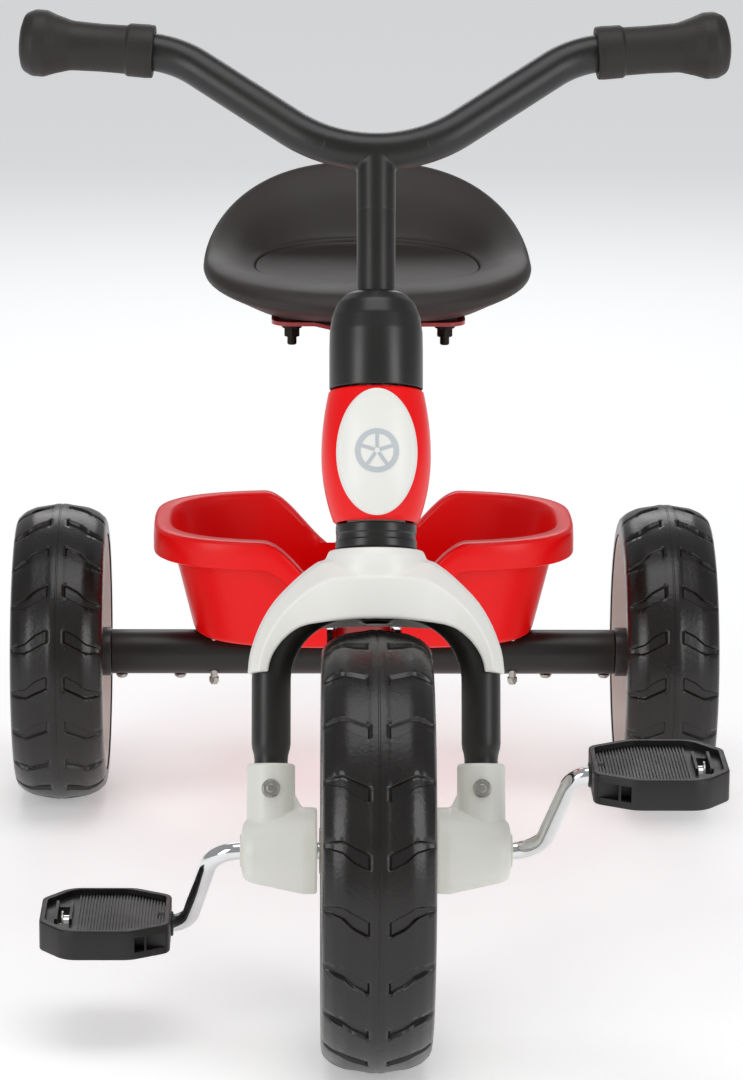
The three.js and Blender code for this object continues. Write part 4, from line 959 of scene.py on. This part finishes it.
WELD_LEAN = Vector((1, 0.3, 0.5))
AXLE_CLEAR = 15.4


def weld(points, thick):
    """A weld bead: a closed round of overlapping ripples along the joint."""
    count = len(points)
    rings = []
    for k, point in enumerate(points):
        way = (points[(k + 1) % count] - points[k - 1]).normalized()
        across = (WELD_LEAN - way * way.dot(WELD_LEAN)).normalized()
        up = way.cross(across)
        r = thick * (1 + 0.1 * math.sin(k * 2 * math.pi / 5))
        turns = [t * math.pi / 5 for t in range(10)]
        rings.append([point + (across * math.cos(t) + up * math.sin(t)) * r for t in turns])
    return lofted(rings, closed=True)


tube_foot = (tube_line[-1] - tube_line[-2]).normalized()
side_way = Vector((1, 0, 0))
fore_way = tube_foot.cross(side_way).normalized()
axle_middle = Vector((0, REAR_AXLE_BACK, 100))
bead = []
for k in range(150):
    angle = 2 * math.pi * k / 150
    rim_point = axle_middle + side_way * TUBE_RADIUS * math.cos(angle)
    rim_point = rim_point + fore_way * TUBE_RADIUS * math.sin(angle)
    sunk = math.sqrt(max(AXLE_CLEAR**2 - (TUBE_RADIUS * math.sin(angle)) ** 2, 16))
    bead.append(rim_point - tube_foot * sunk)
tube_shape = together(main_tube, weld(bead, 2.3))
piece("main_tube_painted", tube_shape, red_paint, "frame", ["main_tube"], on_floor)

rear_half = head_cover(1)
tube_space = tube([Vector((0, 60, 331)), Vector((0, 160, 331))], 19.8, 64)
tube_space.transform(on_head.inverted() @ on_floor)
rear_half = carved(rear_half, tube_space)
piece("head_cover_rear_moulded", rear_half, red_plastic, "frame", ["head_cover_rear"], on_head)

# ---- Handlebar, stem and grips ----
# The bar is one 22 mm tube bent into a shallow V and welded on a straight stem, then powder coated black.
# The grips are soft PVC, dipped over a former: a plain cuff at the inner end and a round guard at the outer.
grip_rubber = finish(
    "soft_pvc_grip", "#191614", "#241f1c", (0.46, 0.6), grain=0.8, depth=0.06, blotch=20, cells=1.2,
    IOR=1.48,
)
BAR_HEIGHT = 401
BAR_WIDTH, SHOULDER, SHOULDER_HEIGHT, BAR_DROP, GRIP_RISE = 406, 116.5, 66.8, 20.6, 7.5
on_bar = on_head @ Matrix.Translation((0, 0, BAR_HEIGHT)) @ Matrix.Rotation(math.radians(-21), 4, "X")
arm_slope = math.hypot(SHOULDER, SHOULDER_HEIGHT + BAR_DROP) / SHOULDER
middle_bend = BAR_DROP / (arm_slope - 1)
bar_line = bent(
    [(-BAR_WIDTH / 2, 0, SHOULDER_HEIGHT + GRIP_RISE), (-SHOULDER, 0, SHOULDER_HEIGHT), (0, 0, -BAR_DROP),
     (SHOULDER, 0, SHOULDER_HEIGHT), (BAR_WIDTH / 2, 0, SHOULDER_HEIGHT + GRIP_RISE)],
    [60, middle_bend, 60], 28,
)
piece(
    "handlebar_painted", tube(split(bar_line, 6), 11, 48), black_paint, "steering",
    ["handlebar"], on_bar,
)
stem = turned([(9.6, 240, 0.3), (11.1, 240, 0.4), (11.1, 392, 0.3), (9.6, 392, 0.3)], 64)
bar_in_head = Matrix.Translation((0, 0, BAR_HEIGHT)) @ Matrix.Rotation(math.radians(-21), 4, "X")
bar_middle = tube([p for p in split(bar_line, 3) if abs(p.x) < 30], 11.1, 48)
bar_middle.transform(bar_in_head)
stem_end = turned(
    [(0, BAR_HEIGHT - 36, 0), (11.2, BAR_HEIGHT - 36, 0), (11.2, BAR_HEIGHT, 0), (0, BAR_HEIGHT, 0)], 64,
)
stem_weld = worked(
    together(bar_middle, stem_end), ("REMESH", {"mode": "VOXEL", "voxel_size": 0.7}),
    ("SMOOTH", {"iterations": 14}),
)
piece(
    "stem_tube_painted", together(stem, stem_weld), black_paint, "steering", ["stem_tube"],
    on_head,
)


def grip():
    return turned(
        [
            (0, 75, 0), (11.4, 75, 0.3), (11.4, 0, 0.4), (15.3, 0, 1), (15.6, 4, 2), (15.4, 14.6, 1.2),
            (14.1, 16.4, 1), (13.9, 30, 12), (14.4, 48, 16), (17, 57, 8), (19.4, 63.5, 6), (19.4, 70, 6),
            (16.5, 76, 6), (9, 78, 4), (0, 78.2, 0),
        ],
        96,
    )


grip_tilt = math.atan2(GRIP_RISE, BAR_WIDTH / 2 - SHOULDER)
grip_start = BAR_WIDTH / 2 - 74.7 * math.cos(grip_tilt)
for name, sign in sides:
    height = SHOULDER_HEIGHT + (grip_start - SHOULDER) * math.tan(grip_tilt)
    place = on_bar @ Matrix.Translation((sign * grip_start, 0, height))
    place = place @ Matrix.Rotation(sign * (math.pi / 2 - grip_tilt), 4, "Y")
    piece(
        f"grip_{name}_dipped", grip(), grip_rubber, "steering", [f"grip_{name}"], place,
        sharp=55,
    )

# ---- Rear axle ----
# A black 30 mm tube. A nylon bush is pushed into each end and held by two self-tapping pan-head screws from
# below, and a plain steel rod runs right through for the wheels to turn on.
axle_tube = turned([(13.5, -170, 0.3), (15, -170, 0.4), (15, 170, 0.4), (13.5, 170, 0.3)], 72, "X")
piece(
    "rear_axle_tube_painted", axle_tube, black_paint, "frame", ["rear_axle_tube"],
    on_rear_axle,
)
for name, sign in sides:
    bush = turned(
        [
            (5.6, 117, 0.3), (13.1, 117, 0.6), (13.1, 170.4, 0.2), (16.5, 170.4, 0.6), (16.5, 179.3, 1),
            (5.6, 179.3, 0.5),
        ],
        72, "X",
    )
    if sign < 0:
        bush.transform(Matrix.Scale(-1, 4, (1, 0, 0)))
    piece(
        f"axle_bush_{name}_moulded", bush, black_plastic, "frame", [f"axle_bush_{name}"],
        on_rear_axle,
    )
    for number, at in ((1, 124), (2, 163.5)):
        screw = turned(
            [
                (0, -8, 0), (2, -8, 0.4), (2, -15.2, 0.2), (4, -15.2, 0.4), (4, -16.6, 1),
                (2.6, -18, 1.2), (0, -18.2, 0),
            ],
            40,
        )
        for turn_of_slot in (0, math.pi / 2):
            slot_tool = block(4, 0.8, 1.6, 0, 0, -18)
            slot_tool.transform(Matrix.Rotation(turn_of_slot, 4, "Z"))
            screw = carved(screw, slot_tool)
        screw.transform(Matrix.Translation((sign * at, 0, 0)))
        piece(
            f"bush_screw_{name}_{number}_plated", screw, zinc, "frame",
            [f"bush_screw_{name}_{number}"], on_rear_axle, sharp=30,
        )

# ---- Bucket ----
# A thin red tub with two bins: a flat floor, walls that lean out, and a rolled rim with a deep skirt.
# The rim dips in the middle, front and back, and an upright slot lets the main tube through.
BUCKET_FLOOR, BUCKET_RIM, BUCKET_FRONT, BUCKET_BACK = 115.3, 190, 455, 617
BUCKET_WIDTH, BUCKET_FLOOR_WIDTH, BUCKET_LIP, BUCKET_SKIRT, BUCKET_WALL = 283, 230, 9, 19, 2.5
DIP, DIP_TOP, DIP_BOTTOM = 43, 68, 12
BUCKET_SQUARE = 0.62
bucket_middle = (BUCKET_FRONT + BUCKET_BACK) / 2


def eased(t):
    t = min(max(t, 0), 1)
    return t * t * (3 - 2 * t)


def bucket_ring(share, inset, height, shrink=1, around=400):
    """One ring of the tub; `share` is 0 at its floor and 1 at its rim, which dips at the front and back."""
    floor_half, rim_half = BUCKET_FLOOR_WIDTH / 2, BUCKET_WIDTH / 2 - BUCKET_LIP
    wide = floor_half + (rim_half - floor_half) * share - inset
    deep = (BUCKET_BACK - BUCKET_FRONT) / 2 - (12 + (BUCKET_LIP - 12) * share) - inset
    dipping = min(1, max(0, (share - 0.5) * 2))
    ring = []
    for k in range(around):
        angle = 2 * math.pi * k / around
        s, c = math.sin(angle), math.cos(angle)
        x = wide * math.copysign(abs(s) ** BUCKET_SQUARE, s)
        y = -deep * math.copysign(abs(c) ** BUCKET_SQUARE, c)
        drop = DIP * eased((DIP_TOP - abs(x)) / (DIP_TOP - DIP_BOTTOM))
        ring.append(Vector((x * shrink, bucket_middle + y * shrink, height - drop * dipping)))
    return ring


def bucket_tub():
    """The tub's skin: the inner floor and wall, the lip, the skirt out and in, the outer wall and floor."""
    w, lip = BUCKET_WALL, -BUCKET_LIP
    low, high, skirt = BUCKET_FLOOR, BUCKET_RIM, BUCKET_RIM - BUCKET_SKIRT
    rows = [(0, w + 4, low + w, shrink) for shrink in (0.01, 0.4, 0.8, 0.95)]
    rows += [(0, w + 2.5, low + w), (0, w + 0.6, low + w + 1.4), (0.03, w, low + w + 4)]
    rows += [(0.03 + 0.94 * k / 12, w, low + 6.5 + (high - low - 9) * k / 12) for k in range(1, 13)]
    rows += [
        (1, w - 0.4, high - 0.9), (1, w - 1.4, high), (1, lip + 2.6, high), (1, lip + 0.8, high - 0.7),
        (1, lip, high - 2.6), (1, lip - 0.4, high - 10), (1, lip - 0.4, skirt + 0.6),
        (1, lip + 0.6, skirt),
        (1, lip + w, skirt + 0.4), (1, lip + w + 0.4, high - w - 1.4), (1, lip + w + 2, high - w),
        (1, -0.8, high - w), (1, 0, high - w - 1.2),
    ]
    rows += [(0.03 + 0.94 * k / 12, 0, low + 4 + (high - low - 8) * k / 12) for k in range(11, -1, -1)]
    rows += [(0, 0.6, low + 1.6), (0, 3, low)]
    rows += [(0, 4, low, shrink) for shrink in (0.95, 0.8, 0.4, 0.01)]
    return lofted([bucket_ring(*row) for row in rows])


NOTCH_HALF, NOTCH_BACK = 25, 534


def notch(half, back, bottom, top):
    return prism(
        filleted(
            [
                (-half, BUCKET_FRONT - 20, 0), (half, BUCKET_FRONT - 20, 0), (half, back, half * 0.6),
                (-half, back, half * 0.6),
            ],
            8,
        ),
        bottom, top,
    )


slot_top = BUCKET_RIM - DIP - 1
envelope = lofted([bucket_ring(0, 4, BUCKET_FLOOR), bucket_ring(0.45, 1, slot_top)])
slot_wall = carved(
    notch(NOTCH_HALF + BUCKET_WALL, NOTCH_BACK + BUCKET_WALL, BUCKET_FLOOR + 0.4, slot_top - 0.3),
    envelope, "INTERSECT",
)
tub = carved(bucket_tub(), slot_wall, "UNION")
tub = carved(tub, notch(NOTCH_HALF, NOTCH_BACK, BUCKET_FLOOR - 10, BUCKET_RIM + 10))
piece("bucket_moulded", tub, red_plastic, "frame", ["bucket"], on_floor, sharp=50)

for name, sign in sides:
    shank = turned(
        [
            (0, 79.6, 0), (2.5, 79.6, 0.6), (2.5, 118, 0.2), (5, 118.1, 0.4), (5, 119.6, 0.8),
            (3.4, 120.8, 1), (0, 121, 0),
        ],
        40,
    )
    drive = prism(hexagon(2.6), 119.8, 125)
    bolt = together(carved(shank, drive), nut(6.4, 81.2, 84.4))
    bolt.transform(Matrix.Translation((sign * 101, REAR_AXLE_BACK - 8.3, 0)))
    piece(
        f"bucket_bolt_{name}_plated", bolt, zinc, "frame", [f"bucket_bolt_{name}"],
        on_floor, sharp=25,
    )

# ---- Seat ----
# A hollow saddle, blow moulded in brown-black polypropylene: a raised back, a rolled front, a sunk oval pan
# with a scored outline, and a flat foot round four bosses that take the bolts.
SEAT_FRONT, SEAT_BACK, SEAT_MIDDLE = 330, 545, 437
SEAT_HALF = 105.5
SEAT_HEIGHT, SEAT_BOTTOM, SEAT_RISE = 384, 357.3, 48


def seat_shape():
    """Rings from the pan's middle out over the crest and in under the foot.

    Each has a half width, a reach to the front and back, heights at the side, front and back, and how
    square its plan is.
    """
    half, front, back = SEAT_HALF, SEAT_MIDDLE - SEAT_FRONT, SEAT_BACK - SEAT_MIDDLE
    top, pan = SEAT_HEIGHT + SEAT_RISE, SEAT_HEIGHT - 4
    knots = [
        (0.5, 0.5, 0.5, pan, pan, pan, 0.9),
        (half * 0.3, (front - 50) * 0.45, (back - 42) * 0.45, pan, pan, pan, 0.9),
        (half * 0.6, (front - 50) * 0.92, (back - 42) * 0.92, pan, pan, pan + 2, 0.88),
        (half * 0.675, front - 50, back - 41.5, pan + 0.2, pan + 0.2, pan + 4.2, 0.86),
        (half * 0.685, front - 49, back - 40.5, pan - 0.9, pan - 0.9, pan + 3.8, 0.86),
        (half * 0.695, front - 48, back - 39.5, pan + 0.7, pan + 0.7, pan + 6, 0.86),
        (half * 0.74, front - 42, back - 35, pan + 2.2, pan + 1.2, pan + 10, 0.84),
        (half * 0.84, front - 22, back - 22, SEAT_HEIGHT + 1.5, SEAT_HEIGHT - 2, top - 19, 0.82),
        (half - 8, front - 11, back - 10, SEAT_HEIGHT + 3.2, SEAT_HEIGHT - 3.4, top - 5, 0.8),
        (half - 3, front - 5, back - 4, SEAT_HEIGHT + 2.6, SEAT_HEIGHT - 6, top - 0.6, 0.8),
        (half - 0.6, front - 1.4, back - 1, SEAT_HEIGHT, SEAT_HEIGHT - 9, top - 2, 0.8),
        (half, front, back, SEAT_HEIGHT - 4, SEAT_HEIGHT - 12, top - 8, 0.8),
        (half - 3.4, front - 3.2, back - 4, SEAT_HEIGHT - 9, SEAT_HEIGHT - 16, top - 30, 0.78),
        (half * 0.83, front - 12, back - 16, SEAT_BOTTOM + 10.5, SEAT_BOTTOM + 6.5, SEAT_BOTTOM + 22, 0.72),
        (half * 0.69, front - 30, back - 32, SEAT_BOTTOM + 3, SEAT_BOTTOM + 1, SEAT_BOTTOM + 5, 0.62),
        (half * 0.62, 62, back - 40, SEAT_BOTTOM, SEAT_BOTTOM, SEAT_BOTTOM, 0.55),
        (half * 0.6, 60, back - 42, SEAT_BOTTOM, SEAT_BOTTOM, SEAT_BOTTOM, 0.55),
        (half * 0.58, 58, back - 44, SEAT_BOTTOM + 2, SEAT_BOTTOM + 2, SEAT_BOTTOM + 2, 0.55),
        (half * 0.3, 30, back * 0.3, SEAT_BOTTOM + 4, SEAT_BOTTOM + 4, SEAT_BOTTOM + 4, 0.6),
        (0.5, 0.5, 0.5, SEAT_BOTTOM + 4, SEAT_BOTTOM + 4, SEAT_BOTTOM + 4, 0.9),
    ]
    rings = []
    for wide, fore, aft, side, nose, tail, square in smooth_line(knots, 6 * (len(knots) - 1) + 1):
        ring = []
        for k in range(160):
            angle = 2 * math.pi * k / 160
            s, c = math.sin(angle), math.cos(angle)
            x = math.copysign(abs(s) ** square, s)
            y = math.copysign(abs(c) ** square, c)
            end, reach = (tail, aft) if y > 0 else (nose, fore)
            share = abs(y) ** (1.6 if y > 0 else 2)
            ring.append(Vector((wide * x, SEAT_MIDDLE + reach * y, side + (end - side) * share)))
        rings.append(ring)
    return lofted(rings)


seat_bosses = []
for end, back in (("front", 378), ("rear", 452)):
    for name, sign in sides:
        seat_bosses.append((f"{end}_{name}", sign * 48.5, back))
bosses = []
for label, x, back in seat_bosses:
    boss = turned([(3.3, 357, 0.3), (8, 357, 0.8), (8.4, 375, 0), (3.3, 375, 0)], 48)
    boss.transform(Matrix.Translation((x, back, 0)))
    bosses.append(boss)
piece(
    "seat_moulded", together(seat_shape(), *bosses), seat_plastic, "frame",
    ["seat_shell"], on_floor, sharp=60,
)

# ---- Seat bracket and bolts ----
# A pressed steel plate, welded across the main tube and painted with it: flat wings with rounded corners
# on either side of a trough. A washer and a nut hold each of the seat's four bolts from below.
WING_TOP, TROUGH_TOP, BRACKET_THICK = 357, 352.8, 2.5
bracket_line = filleted(
    [
        (-61.5, WING_TOP, 0), (-34, WING_TOP, 8), (-16, TROUGH_TOP, 8), (16, TROUGH_TOP, 8),
        (34, WING_TOP, 8), (61.5, WING_TOP, 0),
    ],
    6, closed=False,
)
under = [(x, z - BRACKET_THICK) for x, z in reversed(bracket_line)]
bracket = prism([(x, -z) for x, z in bracket_line + under], 365, 476)
bracket.transform(Matrix.Rotation(-math.pi / 2, 4, "X"))
bracket_plan = filleted([(-61.5, 365, 12), (61.5, 365, 12), (61.5, 476, 12), (-61.5, 476, 12)], 8)
bracket = carved(bracket, prism(bracket_plan, 300, 400), "INTERSECT")
piece("seat_bracket_pressed", bracket, red_paint, "frame", ["seat_bracket"], on_floor, sharp=30)
for label, x, back in seat_bosses:
    top = WING_TOP - BRACKET_THICK - 0.1
    shank = turned([(0, top - 14, 0), (3, top - 14, 1), (3, top + 18, 0.5), (0, top + 18, 0)], 32)
    washer = turned([(3.1, top - 1.6, 0.2), (8, top - 1.6, 0.4), (8, top, 0.4), (3.1, top, 0.2)], 48)
    skirt = turned(
        [(3.1, top - 3, 0.2), (6.4, top - 3, 0.4), (6.4, top - 1.7, 0.3), (3.1, top - 1.7, 0.2)], 48,
    )
    bolt = together(shank, washer, skirt, nut(9.6, top - 8.4, top - 2.8))
    bolt.transform(Matrix.Translation((x, back, 0)))
    piece(
        f"seat_bolt_{label}_plated", bolt, dark_steel, "frame", [f"seat_bolt_{label}"],
        on_floor, sharp=25,
    )

# ---- Inner parts that are kept as drawn ----
# Bushes, spacers, the steerer with its plug and clamp, the axle rod with its push-on caps, and the head tube
# sit inside the covers; each takes the finish that its real material has.
inner_finish = {
    "head_tube": red_paint, "upper_bush": nylon, "lower_bush": nylon, "hub_spacer_left": nylon,
    "hub_spacer_right": nylon, "steerer": zinc, "steerer_plug": zinc, "stem_clamp": zinc,
    "clamp_screw": zinc, "rear_axle_rod": zinc, "axle_cap_left": zinc, "axle_cap_right": zinc,
}
for node, material in inner_finish.items():
    part = frame["nodes"][node]
    if not part.material_slots:
        part.data.materials.append(material)
    for held in part.material_slots:
        held.material = material
